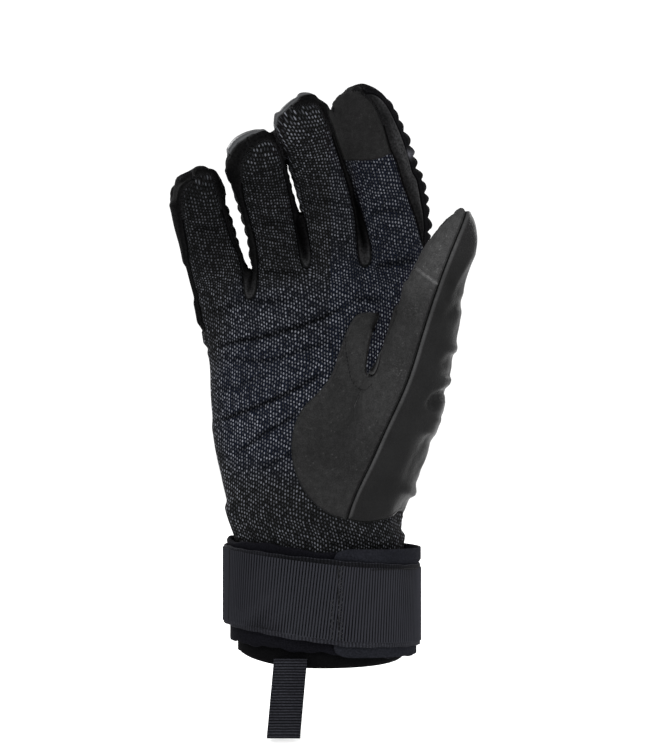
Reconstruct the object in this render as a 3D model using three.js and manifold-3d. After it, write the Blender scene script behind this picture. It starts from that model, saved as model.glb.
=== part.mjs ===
// Water ski glove for the right hand, worn and fastened, with its palm towards -Y and its fingers up.
// Millimetres, +Z up. The origin is the middle of the cuff's open hem, where the wrist goes in.
import * as THREE from 'three';
import { mergeVertices } from 'three/addons/utils/BufferGeometryUtils.js';
import Module from 'manifold-3d';

const wasm = await Module();
wasm.setup();

// Driving dimensions of the hand
const PALM_WIDTH = 92;
const PALM_HEIGHT = 108;
const PALM_DEPTH = 30;
const WALL = 1.8;
const SEAM_GAP = 0.3;
const LITTLE_LENGTH = 70;
const LITTLE_WIDTH = 23.4;
const RING_LENGTH = 84;
const RING_WIDTH = 24.4;
const MIDDLE_LENGTH = 96;
const MIDDLE_WIDTH = 25.6;
const INDEX_LENGTH = 97.5;
const INDEX_WIDTH = 26;
const FINGER_FLATNESS = 0.84;
const THUMB_LENGTH = 117;
const THUMB_WIDTH = 31;
const THUMB_DEPTH = 30;

// Driving dimensions of the surface
const RIB_PITCH = 10;
const RIB_HEIGHT = 1;
const PALM_CUP = 3.5;
const CREASE_DEPTH = 1.3;
const CREASE_WIDTH = 3.2;
const TIP_BORDER = 3.6;
const TIP_CAP_LENGTH = 15;
const TIP_PATCH_LENGTH = 27;
const WEB_FOLD = 1.2;
const RIBLESS_TIP = 12;
const BACK_BORDER = 1.5;
const CAP_BORDER = 2;
const PANEL_START = 0.5;
const CAP_START = 1.5;
const THUMB_WRAP = 2.5;

// Driving dimensions of the cuff
const CUFF_HEIGHT = 44;
const HEM_TAPER = 2.6;
const HEM_BEND = 0.4;
const WRIST_WIDTH = 66;
const WRIST_DEPTH = 47;
const SLEEVE_WALL = 2.2;
const WRAP_THICKNESS = 2.3;
const WRAP_HEIGHT = 40;
const WRAP_LIP = 3;
const LIP_FLARE = 1;
const TAB_THICKNESS = 1;
const TAB_HEIGHT = 41;
const STRAP_THICKNESS = 1.4;
const STRAP_HEIGHT = 32;
const STRAP_OVERLAP = 40;
const PULL_WIDTH = 12.7;
const PULL_THICKNESS = 1.2;
const PULL_LENGTH = 30;
const PULL_EYE = 2.4;

// Resolution of the faceted solids
const FINGER_SIDES = 12;
const LINING_SIDES = 8;
const PALM_SIDES = 28;
const PALM_RINGS = 14;
const BAND_STEPS = 28;
const TIP_RINGS = 3;
const RIBBON_STEPS = 6;
const SLIVER = 0.05;

// Colour, roughness and metalness of each finish
const finish = (color, roughness) => new THREE.MeshStandardMaterial({ color, roughness, metalness: 0 });
const DOTTED_KNIT = finish(0x2b2e36, 0.85);
const STRETCH_KNIT = finish(0x141418, 0.8);
const NEOPRENE = finish(0x1d1d21, 0.75);
const SUEDE = finish(0x363637, 0.95);
const SMOOTH_LEATHER = finish(0x2a2a2b, 0.5);
const GREY_PRINT = finish(0x7a7b80, 0.6);
const WEBBING = finish(0x28292d, 0.7);
const SOFT_LOOP = finish(0x242529, 0.9);

// Plain helpers
const vector = (x, y, z) => new THREE.Vector3(x, y, z);
const radians = THREE.MathUtils.degToRad;
const mix = THREE.MathUtils.lerp;
const smooth = THREE.MathUtils.smoothstep;

// A row of a table at a share of the way along its key column, straight between rows
function rowAt(rows, key, share) {
  const next = rows.findIndex((row) => row[key] >= share);
  if (next === 0) return rows[0];
  if (next < 0) return rows.at(-1);
  const [low, high] = [rows[next - 1], rows[next]];
  const part = (share - low[key]) / (high[key] - low[key]);
  return Object.fromEntries(Object.keys(low).map((name) => [name, mix(low[name], high[name], part)]));
}

// Closed solid from its points and the corners of its triangles
function solid(points, corners) {
  const vertProperties = new Float32Array(points.flatMap((point) => point.toArray()));
  const triVerts = new Uint32Array(corners);
  return new wasm.Manifold(new wasm.Mesh({ numProp: 3, vertProperties, triVerts }));
}

function solidOf(geometry) {
  geometry.deleteAttribute('normal');
  geometry.deleteAttribute('uv');
  const merged = mergeVertices(geometry, 1e-4);
  const vertProperties = new Float32Array(merged.attributes.position.array);
  const triVerts = new Uint32Array(merged.index.array);
  return new wasm.Manifold(new wasm.Mesh({ numProp: 3, vertProperties, triVerts }));
}

// Closed skin over rings of points that run anticlockwise about the way from the first to the last
function loft(rings) {
  const sides = rings[0].length;
  const middle = (ring) => ring.reduce((sum, point) => sum.add(point), vector(0, 0, 0)).divideScalar(sides);
  const points = [...rings.flat(), middle(rings[0]), middle(rings.at(-1))];
  const corners = [];
  for (let ring = 0; ring < rings.length - 1; ring++) {
    for (let i = 0; i < sides; i++) {
      const j = (i + 1) % sides;
      const low = ring * sides;
      const high = low + sides;
      corners.push(low + i, low + j, high + j, low + i, high + j, high + i);
    }
  }
  const last = (rings.length - 1) * sides;
  for (let i = 0; i < sides; i++) {
    const j = (i + 1) % sides;
    corners.push(points.length - 2, j, i, points.length - 1, last + i, last + j);
  }
  return solid(points, corners);
}

const union = (solids) => solids.reduce((whole, next) => whole.add(next));
const without = (body, cutters) => cutters.reduce((rest, cutter) => rest.subtract(cutter), body);

// A cut can leave crumbs beside the panel, so the largest piece is the panel
const panelOf = (body) => body.decompose().sort((one, two) => two.volume() - one.volume())[0];

const parts = new THREE.Group();

function addPart(name, body, material) {
  const { vertProperties, triVerts } = panelOf(body.simplify(SLIVER)).getMesh();
  const geometry = new THREE.BufferGeometry();
  geometry.setAttribute('position', new THREE.BufferAttribute(vertProperties, 3));
  geometry.setIndex(new THREE.BufferAttribute(triVerts, 1));
  geometry.computeVertexNormals();
  const mesh = new THREE.Mesh(geometry, material);
  mesh.name = name;
  parts.add(mesh);
}

// Oval ring of points, squarer than an ellipse as power rises above 2
function ovalRing(frame, halfWidth, halfDepth, sides, power, outset = () => 0) {
  const round = (value) => Math.sign(value) * Math.abs(value) ** (2 / power);
  return Array.from({ length: sides }, (_, i) => {
    const angle = (2 * Math.PI * i) / sides;
    const grow = outset(angle);
    return frame.centre.clone()
      .addScaledVector(frame.side, round(Math.cos(angle)) * (halfWidth + grow))
      .addScaledVector(frame.front, -round(Math.sin(angle)) * (halfDepth + grow));
  });
}

// Palm: rows from the lower edge of the hand to the crest of the finger webs
// up: share of PALM_HEIGHT; across and width: shares of PALM_WIDTH;
// depth and back: shares of PALM_DEPTH; tilt: degrees, little finger side lower
const PALM_ROWS = [
  { up: -0.05, across: -0.008, width: 0.690, depth: 1.50, back: 0.00, tilt: 0 },
  { up: 0.05, across: -0.012, width: 0.694, depth: 1.50, back: 0.00, tilt: 0 },
  { up: 0.12, across: -0.032, width: 0.706, depth: 1.52, back: 0.00, tilt: 0 },
  { up: 0.25, across: -0.034, width: 0.770, depth: 1.40, back: 0.02, tilt: 1 },
  { up: 0.40, across: -0.028, width: 0.855, depth: 1.24, back: 0.05, tilt: 2 },
  { up: 0.55, across: -0.024, width: 0.905, depth: 1.10, back: 0.08, tilt: 3 },
  { up: 0.70, across: -0.018, width: 0.935, depth: 1.00, back: 0.09, tilt: 5 },
  { up: 0.82, across: -0.020, width: 0.960, depth: 0.92, back: 0.08, tilt: 8 },
  { up: 0.92, across: -0.028, width: 0.965, depth: 0.80, back: 0.07, tilt: 11 },
  { up: 1.00, across: -0.034, width: 0.930, depth: 0.60, back: 0.05, tilt: 13 },
  { up: 1.04, across: -0.036, width: 0.860, depth: 0.36, back: 0.03, tilt: 13 },
];

// Palm creases, in from the thumb side to the little finger side, as shares of width and height
const CREASES = [
  { fromAcross: 0.10, fromUp: 0.89, toAcross: -0.34, toUp: 0.75 },
  { fromAcross: -0.01, fromUp: 0.74, toAcross: -0.25, toUp: 0.67 },
  { fromAcross: -0.01, fromUp: 0.62, toAcross: -0.42, toUp: 0.47 },
  { fromAcross: -0.11, fromUp: 0.51, toAcross: -0.36, toUp: 0.37 },
  { fromAcross: 0.40, fromUp: 1.05, toAcross: 0.12, toUp: 1.00 },
  { fromAcross: -0.34, fromUp: 0.91, toAcross: -0.53, toUp: 0.87 },
];

// How far the palm's face is pushed in at a place
function palmDent(x, z) {
  const across = x / (PALM_WIDTH / 2);
  const up = (z - CUFF_HEIGHT) / PALM_HEIGHT;
  const hollow = Math.max(0, 1 - across ** 2) ** 2 * smooth(up, 0.15, 0.5) * (1 - smooth(up, 0.75, 1));
  const place = new THREE.Vector3(x, 0, z);
  const nearest = vector(0, 0, 0);
  let folds = 0;
  for (const crease of CREASES) {
    const start = vector(crease.fromAcross * PALM_WIDTH, 0, CUFF_HEIGHT + crease.fromUp * PALM_HEIGHT);
    const end = vector(crease.toAcross * PALM_WIDTH, 0, CUFF_HEIGHT + crease.toUp * PALM_HEIGHT);
    new THREE.Line3(start, end).closestPointToPoint(place, true, nearest);
    folds += Math.exp(-((nearest.distanceTo(place) / CREASE_WIDTH) ** 2));
  }
  return PALM_CUP * hollow + CREASE_DEPTH * Math.min(folds, 1);
}

function palmSolid(inset, sides, count, lowest) {
  const top = PALM_ROWS.at(-1).up;
  const rings = [];
  for (let i = 0; i <= count; i++) {
    const row = rowAt(PALM_ROWS, 'up', mix(lowest, top, i / count));
    const tilt = radians(row.tilt);
    const side = vector(Math.cos(tilt), 0, Math.sin(tilt));
    const height = CUFF_HEIGHT + row.up * PALM_HEIGHT - inset * smooth(row.up, 0.9, 1);
    const centre = vector(row.across * PALM_WIDTH, row.back * PALM_DEPTH, height);
    const frame = { centre, side, front: vector(0, -1, 0) };
    const halfWidth = (row.width * PALM_WIDTH) / 2 - inset;
    const halfDepth = (row.depth * PALM_DEPTH) / 2 - inset;
    const ring = ovalRing(frame, halfWidth, halfDepth, sides, mix(2, 2.3, smooth(row.up, 0.05, 0.3)));
    for (const point of ring) {
      const facing = Math.max(0, (centre.y - point.y) / halfDepth);
      point.y += smooth(facing, 0.2, 0.8) * palmDent(point.x, point.z);
    }
    rings.push(ring);
  }
  return loft(rings);
}

// Fingers: across and up are the root's shares of PALM_WIDTH and PALM_HEIGHT, back its share of
// PALM_DEPTH; leans and curls are degrees at root and tip; left and right are the borders of the
// front panel, as shares of the finger's half width
const FINGERS = [
  { name: 'little', length: LITTLE_LENGTH, width: LITTLE_WIDTH, across: -0.390, up: 0.77, back: 0.08,
    leans: [-12, -14], curls: [4, 48], left: -0.60, right: 0.74 },
  { name: 'ring', length: RING_LENGTH, width: RING_WIDTH, across: -0.150, up: 0.80, back: 0.10,
    leans: [-8, -22], curls: [0, 58], left: -0.58, right: 0.86 },
  { name: 'middle', length: MIDDLE_LENGTH, width: MIDDLE_WIDTH, across: 0.077, up: 0.80, back: 0.10,
    leans: [-3, -42], curls: [0, 50], left: -0.85, right: 0.85 },
  { name: 'index', length: INDEX_LENGTH, width: INDEX_WIDTH, across: 0.345, up: 0.80, back: 0.08,
    leans: [-5, -37], curls: [0, 34], left: -0.82, right: 0.68 },
];

// Width of a finger along its length, as a share of its named width
const FINGER_ROWS = [
  { along: 0.00, width: 0.92 },
  { along: 0.45, width: 1.00 },
  { along: 0.75, width: 0.99 },
  { along: 1.00, width: 0.95 },
];

// Middle line of a finger, worked out in short steps from its root, leaning and curling as it goes
const SPINE_STEPS = 48;
for (const finger of FINGERS) {
  const height = CUFF_HEIGHT + finger.up * PALM_HEIGHT;
  const here = vector(finger.across * PALM_WIDTH, finger.back * PALM_DEPTH, height);
  finger.spine = [];
  for (let i = 0; i <= SPINE_STEPS; i++) {
    const share = i / SPINE_STEPS;
    const lean = radians(mix(...finger.leans, share ** 2.5));
    const curl = radians(mix(...finger.curls, share ** 1.3));
    const up = vector(Math.sin(lean) * Math.cos(curl), -Math.sin(curl), Math.cos(lean) * Math.cos(curl));
    const side = vector(Math.cos(lean), 0, -Math.sin(lean));
    finger.spine.push({ centre: here.clone(), side, front: side.clone().cross(up), up });
    here.addScaledVector(up, finger.length / SPINE_STEPS);
  }
}

// Centre and directions of a finger at a distance along it
function fingerFrame(finger, along) {
  const place = THREE.MathUtils.clamp((along / finger.length) * SPINE_STEPS, 0, SPINE_STEPS);
  const low = Math.min(Math.floor(place), SPINE_STEPS - 1);
  const [before, after] = [finger.spine[low], finger.spine[low + 1]];
  const blend = (key) => before[key].clone().lerp(after[key], place - low);
  const [side, front] = [blend('side').normalize(), blend('front').normalize()];
  return { centre: blend('centre'), side, front, up: front.clone().cross(side) };
}

// Half width of a finger at a distance along it; its tip closes as a round over tipRound
const tipRound = (finger) => finger.width * 0.5;
function fingerHalf(finger, along) {
  const row = rowAt(FINGER_ROWS, 'along', along / finger.length);
  const past = Math.max(0, 1 - (finger.length - along) / tipRound(finger));
  return (row.width * finger.width * (1 - Math.min(past, 1) ** 2.5) ** (1 / 2.5)) / 2;
}

// Distances of a finger's rings: every half rib, then closer together over the round tip
function fingerStations(finger, spacing) {
  const straight = finger.length - tipRound(finger);
  const count = 2 * Math.round(straight / spacing / 2);
  const stations = Array.from({ length: count }, (_, i) => (straight * i) / count);
  for (let i = 0; i <= TIP_RINGS; i++) {
    const rise = Math.sin((Math.PI / 2) * Math.min(i / (TIP_RINGS + 0.4), 1));
    stations.push(straight + tipRound(finger) * rise);
  }
  return stations;
}

// The back's flex ribs start past the webs and fade out before the tip; a lining's rings beyond the
// webs sit lower by half its inset, which keeps the wall at the tip
const LEAST_RADIUS = 0.4;
function fingerSolid(finger, inset, sides, spacing, ribHeight) {
  const webs = PALM_HEIGHT * (1 - finger.up);
  const ribsEnd = finger.length - RIBLESS_TIP;
  const rings = fingerStations(finger, spacing).map((along, i) => {
    const frame = fingerFrame(finger, along);
    const half = fingerHalf(finger, along);
    const ribbed = smooth(along, webs, webs * 1.2) * (1 - smooth(along, ribsEnd, ribsEnd + RIBLESS_TIP / 2));
    const rib = (ribHeight / 2) * ribbed * (i % 2 ? 1 : -1);
    const outset = (angle) => rib * smooth(Math.sin(angle), -0.5, 0.2);
    frame.centre.addScaledVector(frame.up, along > webs ? -inset / 2 : 0);
    const halfWidth = Math.max(half - inset, LEAST_RADIUS);
    const halfDepth = Math.max(half * FINGER_FLATNESS - inset, LEAST_RADIUS);
    return ovalRing(frame, halfWidth, halfDepth, sides, 2.15, outset);
  });
  return loft(rings);
}

// Box that follows a finger from one distance to another: left and right are shares of the half width
// there, near and far are distances in front of its middle line, and border narrows it towards the tip
function ribbon(finger, from, to, left, right, near, far, border, margin) {
  const rings = Array.from({ length: RIBBON_STEPS + 1 }, (_, i) => {
    const along = mix(from - margin, to + margin, i / RIBBON_STEPS);
    const frame = fingerFrame(finger, along);
    const half = Math.max(fingerHalf(finger, Math.min(along + border, finger.length)), 2 * LEAST_RADIUS);
    const corner = (across, forward) => frame.centre.clone()
      .addScaledVector(frame.side, across)
      .addScaledVector(frame.front, forward);
    const [low, high] = [left * half - margin, right * half + margin];
    const [start, end] = [near - margin, far + margin];
    return [corner(low, end), corner(high, end), corner(high, start), corner(low, start)];
  });
  return loft(rings);
}

// Thumb: rows from its root inside the heel of the hand to its tip
// up, across and forward: shares of THUMB_LENGTH from the root; width: share of THUMB_WIDTH;
// depth: share of THUMB_DEPTH; seam: the long seam's place, as a share of the half width
const THUMB_ROOT = { across: 0.152, forward: 0.27, up: 0.12 };
const THUMB_ROWS = [
  { up: 0.000, across: 0.000, forward: 0.000, width: 0.96, depth: 1.00, seam: -0.22 },
  { up: 0.137, across: 0.060, forward: 0.034, width: 0.99, depth: 1.00, seam: -0.28 },
  { up: 0.282, across: 0.111, forward: 0.090, width: 1.02, depth: 0.93, seam: -0.24 },
  { up: 0.406, across: 0.148, forward: 0.137, width: 0.99, depth: 0.83, seam: -0.20 },
  { up: 0.547, across: 0.198, forward: 0.184, width: 0.84, depth: 0.76, seam: -0.20 },
  { up: 0.684, across: 0.234, forward: 0.235, width: 0.72, depth: 0.69, seam: -0.12 },
  { up: 0.769, across: 0.250, forward: 0.265, width: 0.63, depth: 0.64, seam: 0.04 },
  { up: 0.838, across: 0.274, forward: 0.286, width: 0.58, depth: 0.58, seam: 0.00 },
  { up: 0.897, across: 0.303, forward: 0.303, width: 0.52, depth: 0.50, seam: -0.06 },
  { up: 0.949, across: 0.316, forward: 0.316, width: 0.36, depth: 0.36, seam: 0.00 },
  { up: 0.983, across: 0.322, forward: 0.325, width: 0.19, depth: 0.20, seam: 0.00 },
  { up: 0.996, across: 0.323, forward: 0.327, width: 0.06, depth: 0.08, seam: 0.00 },
];
const CROSS_SEAM_UP = 0.77;

function thumbCentre(row) {
  const x = THUMB_ROOT.across * PALM_WIDTH + row.across * THUMB_LENGTH;
  const y = -THUMB_ROOT.forward * PALM_DEPTH - row.forward * THUMB_LENGTH;
  const z = CUFF_HEIGHT + THUMB_ROOT.up * PALM_HEIGHT + row.up * THUMB_LENGTH;
  return vector(x, y, z);
}

// Directions of the thumb at a row, square to its middle line
const THUMB_STEP = 0.06;
function thumbFrame(row) {
  const centre = thumbCentre(row);
  const before = thumbCentre(rowAt(THUMB_ROWS, 'up', row.up - THUMB_STEP));
  const after = thumbCentre(rowAt(THUMB_ROWS, 'up', row.up + THUMB_STEP));
  const up = after.sub(before).normalize();
  const side = vector(1, 0, 0).addScaledVector(up, -up.x).normalize();
  return { centre, side, front: side.clone().cross(up), up };
}

function thumbSolid(grow, sides, toUp = 1) {
  const rows = THUMB_ROWS.filter((row) => row.up <= toUp);
  return loft(rows.map((row) => {
    const halfWidth = Math.max((row.width * THUMB_WIDTH) / 2 + grow, LEAST_RADIUS);
    const halfDepth = Math.max((row.depth * THUMB_DEPTH) / 2 + grow, LEAST_RADIUS);
    return ovalRing(thumbFrame(row), halfWidth, halfDepth, sides, 2.1);
  }));
}

// Box that follows the thumb, from the place that low and high give at each row, in front of near
function thumbRibbon(rows, low, high, near, far) {
  return loft(rows.map((row) => {
    const { centre, side, front } = thumbFrame(row);
    const half = (row.width * THUMB_WIDTH) / 2;
    const corner = (across, forward) => centre.clone()
      .addScaledVector(side, across)
      .addScaledVector(front, forward);
    const [left, right] = [low(row, half), high(row, half)];
    return [corner(left, far), corner(right, far), corner(right, near), corner(left, near)];
  }));
}

// Outline of shares of palm width and height, in millimetres, moved outwards by a margin
function outlineOf(shares, margin) {
  const spots = shares.map(([across, up]) => (
    new THREE.Vector2(across * PALM_WIDTH, CUFF_HEIGHT + up * PALM_HEIGHT)
  ));
  const outwards = THREE.ShapeUtils.isClockWise(spots) ? -margin : margin;
  const normal = (from, to) => new THREE.Vector2(to.y - from.y, from.x - to.x).normalize();
  return spots.map((spot, i) => {
    const away = normal(spots.at(i - 1), spot).add(normal(spot, spots[(i + 1) % spots.length]));
    return spot.clone().addScaledVector(away, (2 * outwards) / away.lengthSq());
  });
}

// Upright prism over an outline of shares, drawn out from one depth to another
function prism(shares, front, back, margin = 0) {
  const shape = new THREE.Shape(outlineOf(shares, margin));
  const geometry = new THREE.ExtrudeGeometry(shape, { depth: back - front, bevelEnabled: false });
  geometry.rotateX(Math.PI / 2);
  geometry.translate(0, back, 0);
  return solidOf(geometry);
}

// Outlines seen from the front: each place is a share of PALM_WIDTH across, then of PALM_HEIGHT up

// Front outline of the hand below the fingers; its upper edge runs through the feet of the webs
const HAND_EDGE = [
  [-0.70, 0.800], [-0.515, 0.812], [-0.490, 0.905], [-0.400, 0.940], [-0.345, 0.915], [-0.315, 0.905],
  [-0.285, 0.925], [-0.180, 0.990], [-0.100, 1.010], [-0.062, 1.000], [-0.020, 1.010], [0.090, 1.030],
  [0.150, 1.025], [0.185, 1.010], [0.220, 1.025], [0.330, 1.060], [0.420, 1.040], [0.500, 0.860],
  [0.70, 0.800],
];

const handOutline = (raise) => [
  [-0.70, -0.2], [0.70, -0.2], ...HAND_EDGE.map(([across, up]) => [across, up + raise]).reverse(),
];

// Thenar patch: its round edge on the palm, its tongue beside the slot, and its lower edge
const PATCH_EDGE = [
  [0.125, 0.852], [0.088, 0.774], [0.042, 0.685], [-0.061, 0.569], [-0.127, 0.439], [-0.132, 0.368],
  [-0.115, 0.281], [-0.074, 0.209], [-0.016, 0.164], [0.054, 0.129], [0.137, 0.118],
];
const PATCH_SLOT = [
  [0.70, 0.118], [0.70, 0.66], [0.30, 0.66], [0.235, 0.635], [0.205, 0.628], [0.184, 0.650],
  [0.186, 0.720], [0.200, 0.757], [0.234, 0.820], [0.209, 0.852],
];
const REACH = 90;
const SPLIT_BACK = 4;

function patchPrism(margin) {
  const curve = new THREE.CatmullRomCurve3(PATCH_EDGE.map(([across, up]) => vector(across, up, 0)));
  const edge = curve.getPoints(16).map((point) => [point.x, point.y]);
  return prism([...edge, ...PATCH_SLOT], -REACH, margin - SPLIT_BACK, margin);
}

// Hand shell: the outer skin less the hollow that the hand fills
const outerSkin = union([
  palmSolid(0, PALM_SIDES, PALM_RINGS, 0),
  ...FINGERS.map((finger) => fingerSolid(finger, 0, FINGER_SIDES, RIB_PITCH / 2, RIB_HEIGHT)),
  thumbSolid(0, FINGER_SIDES),
]);
const lining = union([
  palmSolid(WALL, PALM_SIDES / 2, PALM_RINGS / 2, -0.04),
  ...FINGERS.map((finger) => fingerSolid(finger, WALL, LINING_SIDES, RIB_PITCH, 0)),
  thumbSolid(-WALL, LINING_SIDES, 0.985),
]);
const handShell = outerSkin.subtract(lining);

// Cutters that part the shell into its sewn panels; each takes a margin that opens the seam
// Shares of a finger's half width where its back panel, tip cap and tip patch have their borders
const BACK_SHARE = 0.78;
const CAP_SHARE = 0.66;
const PATCH_SHARE = 0.72;

function frontFinger(finger, margin) {
  const border = finger.name === 'index' ? 0 : TIP_BORDER;
  const reach = finger.length - (finger.name === 'index' ? TIP_PATCH_LENGTH : TIP_BORDER);
  return ribbon(finger, 0, reach, finger.left, finger.right, PANEL_START, finger.width, border, margin);
}
function backFinger(finger, margin) {
  const [reach, far] = [finger.length - BACK_BORDER, -finger.width];
  return ribbon(finger, 0, reach, -BACK_SHARE, BACK_SHARE, far, -PANEL_START, BACK_BORDER, margin);
}
function tipCap(finger, margin) {
  const [from, reach, far] = [finger.length - TIP_CAP_LENGTH, finger.length - CAP_BORDER, -finger.width];
  return ribbon(finger, from, reach, -CAP_SHARE, CAP_SHARE, far, -CAP_START, CAP_BORDER, margin);
}
function tipPatch(margin) {
  const index = FINGERS.at(-1);
  const from = index.length - TIP_PATCH_LENGTH + SEAM_GAP;
  const reach = index.length - TIP_BORDER;
  return ribbon(index, from, reach, -PATCH_SHARE, PATCH_SHARE, PANEL_START, index.width, TIP_BORDER, margin);
}
const frontHand = (margin) => union([
  prism(handOutline(0), -REACH, SPLIT_BACK + margin, margin),
  ...FINGERS.map((finger) => frontFinger(finger, margin)),
]);
const backHand = (margin) => union([
  prism(handOutline(-WEB_FOLD / PALM_HEIGHT), SPLIT_BACK - margin, REACH, margin),
  ...FINGERS.map((finger) => backFinger(finger, margin)),
]);
const THUMB_GROW = 1.5;
const thumbZone = (margin) => union([thumbSolid(THUMB_GROW + margin, FINGER_SIDES), patchPrism(margin)]);

// Thumb: the smooth panel lies right of the long seam and over the thumb's back
// The cutters run on past both ends of the thumb
const ROW_BELOW = { ...THUMB_ROWS[0], up: -0.12, across: -0.05, forward: -0.02 };
const ROW_ABOVE = { ...THUMB_ROWS.at(-1), up: 1.04 };
const seamRows = [ROW_BELOW, ...THUMB_ROWS.slice(0, -1), ROW_ABOVE];
const smoothSide = (margin) => union([
  thumbRibbon(seamRows, (row, half) => row.seam * half - margin, () => REACH, -REACH / 2, REACH / 2),
  thumbRibbon(seamRows, () => -REACH / 2, () => REACH, -REACH / 2, margin - THUMB_WRAP)
    .intersect(thumbSolid(SEAM_GAP + margin, FINGER_SIDES)),
]);
const CROSS_SEAM_SLOPE = 0.75;
function aboveCrossSeam(margin) {
  const frame = thumbFrame(rowAt(THUMB_ROWS, 'up', CROSS_SEAM_UP));
  const slope = frame.side.clone().addScaledVector(frame.up, -CROSS_SEAM_SLOPE).normalize();
  const rise = slope.clone().cross(frame.front).negate();
  const foot = frame.centre.clone().addScaledVector(rise, -margin);
  const corner = (across, forward, up) => foot.clone()
    .addScaledVector(slope, across)
    .addScaledVector(frame.front, forward)
    .addScaledVector(rise, up);
  const square = (up) => [
    corner(-REACH, REACH, up), corner(REACH, REACH, up),
    corner(REACH, -REACH, up), corner(-REACH, -REACH, up),
  ];
  return loft([square(0), square(REACH)]);
}

// The same cutters with their seams open
const frontOpen = frontHand(SEAM_GAP);
const backOpen = backHand(SEAM_GAP);
const thumbOpen = thumbZone(SEAM_GAP);
const smoothOpen = smoothSide(SEAM_GAP);
const capsOpen = FINGERS.map((finger) => tipCap(finger, SEAM_GAP));

addPart('palm_panel', handShell.intersect(frontHand(0)).subtract(thumbOpen), DOTTED_KNIT);
const back = without(handShell.intersect(backHand(0)), [frontOpen, thumbOpen, ...capsOpen]);
addPart('back_panel', back, NEOPRENE);
for (const finger of FINGERS) {
  addPart(`${finger.name}_tip_cap`, handShell.intersect(tipCap(finger, 0)), GREY_PRINT);
}
addPart('index_tip_patch', handShell.intersect(tipPatch(0)), SUEDE);

// Strips between the front and back panels, each from one finger's middle line to the next one's
const strips = without(handShell, [frontOpen, backOpen, thumbOpen, tipPatch(SEAM_GAP), ...capsOpen]);
const LINE_SHARES = [0, 0.2, 0.4, 0.6, 0.8, 0.9, 1];
function middleLine(finger, shift) {
  const spots = LINE_SHARES.map((share) => fingerFrame(finger, share * finger.length).centre);
  spots.push(spots.at(-1).clone().add(vector(0, 0, finger.width)));
  return spots.map((spot) => [(spot.x + shift) / PALM_WIDTH, (spot.z - CUFF_HEIGHT) / PALM_HEIGHT]);
}
const outside = (across) => [[across, 0.7], [across, 2]];
function between(leftFinger, rightFinger) {
  const left = leftFinger ? middleLine(leftFinger, SEAM_GAP / 2) : outside(-0.9);
  const right = rightFinger ? middleLine(rightFinger, -SEAM_GAP / 2) : outside(0.9);
  return prism([...left, ...right.reverse()].reverse(), -REACH, REACH);
}
const [little, ring, middle, index] = FINGERS;
addPart('little_side', strips.intersect(between(null, little)), STRETCH_KNIT);
addPart('fourchette_little_ring', strips.intersect(between(little, ring)), STRETCH_KNIT);
addPart('fourchette_ring_middle', strips.intersect(between(ring, middle)), STRETCH_KNIT);
addPart('fourchette_middle_index', strips.intersect(between(middle, index)), STRETCH_KNIT);
addPart('index_side', strips.intersect(between(index, null)), STRETCH_KNIT);

const thumbShell = handShell.intersect(thumbZone(0));
const suede = thumbShell.subtract(smoothOpen);
addPart('thumb_palm_panel', suede.subtract(aboveCrossSeam(SEAM_GAP)), SUEDE);
addPart('thumb_tip_panel', suede.intersect(aboveCrossSeam(0)), SUEDE);
addPart('thumb_back_panel', thumbShell.intersect(smoothSide(0)), SMOOTH_LEATHER);

// Cuff: each layer is a band round the wrist, whose section gives its corners at each turn as how
// far they stand out from the sleeve's outer face and how high they are
// turn: share of a round, from the thumb side (0) by the back (0.25) and little finger side (0.5)
// to the palm side (0.75)
function band(fromTurn, toTurn, section) {
  const closed = toTurn - fromTurn === 1;
  const rows = [];
  const first = Math.round(fromTurn * BAND_STEPS);
  const end = Math.round(toTurn * BAND_STEPS);
  for (let i = first; i <= (closed ? end - 1 : end); i++) {
    const turn = i / BAND_STEPS;
    const angle = 2 * Math.PI * turn;
    const spot = (radial, z) => {
      const halfWidth = WRIST_WIDTH / 2 + radial;
      const halfDepth = WRIST_DEPTH / 2 + radial;
      return vector(halfWidth * Math.cos(angle), halfDepth * Math.sin(angle), z);
    };
    rows.push(section(turn).map(([radial, z]) => spot(radial, z)));
  }
  const count = rows[0].length;
  const corners = [];
  const links = closed ? rows.length : rows.length - 1;
  for (let row = 0; row < links; row++) {
    for (let i = 0; i < count; i++) {
      const j = (i + 1) % count;
      const here = row * count;
      const next = ((row + 1) % rows.length) * count;
      corners.push(here + i, next + j, here + j, here + i, next + i, next + j);
    }
  }
  if (!closed) {
    const last = (rows.length - 1) * count;
    for (let i = 1; i < count - 1; i++) {
      corners.push(0, i, i + 1, last, last + i + 1, last + i);
    }
  }
  return solid(rows.flat(), corners);
}

// How far each edge rises towards the little finger side, where the strap was pulled up
const wave = (turn, at) => Math.cos(2 * Math.PI * (turn - at));
const strapRise = (turn) => -STRAP_HEIGHT * 0.14 * wave(turn, 0);
const strapHeight = (turn) => STRAP_HEIGHT * (1 + 0.05 * wave(turn, 0));
const STRAP_MIDDLE = CUFF_HEIGHT * 0.61;
const TAB_MIDDLE = CUFF_HEIGHT * 0.59;
const wrapLow = (turn) => CUFF_HEIGHT * (0.15 - 0.07 * wave(turn, 0));
const wrapHigh = (turn) => wrapLow(turn) + WRAP_HEIGHT * (0.98 + 0.015 * Math.sin(10 * Math.PI * turn));
const wrapInner = SEAM_GAP;
const tabInner = wrapInner + WRAP_THICKNESS + SEAM_GAP;
const strapInner = tabInner + TAB_THICKNESS + SEAM_GAP;

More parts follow.
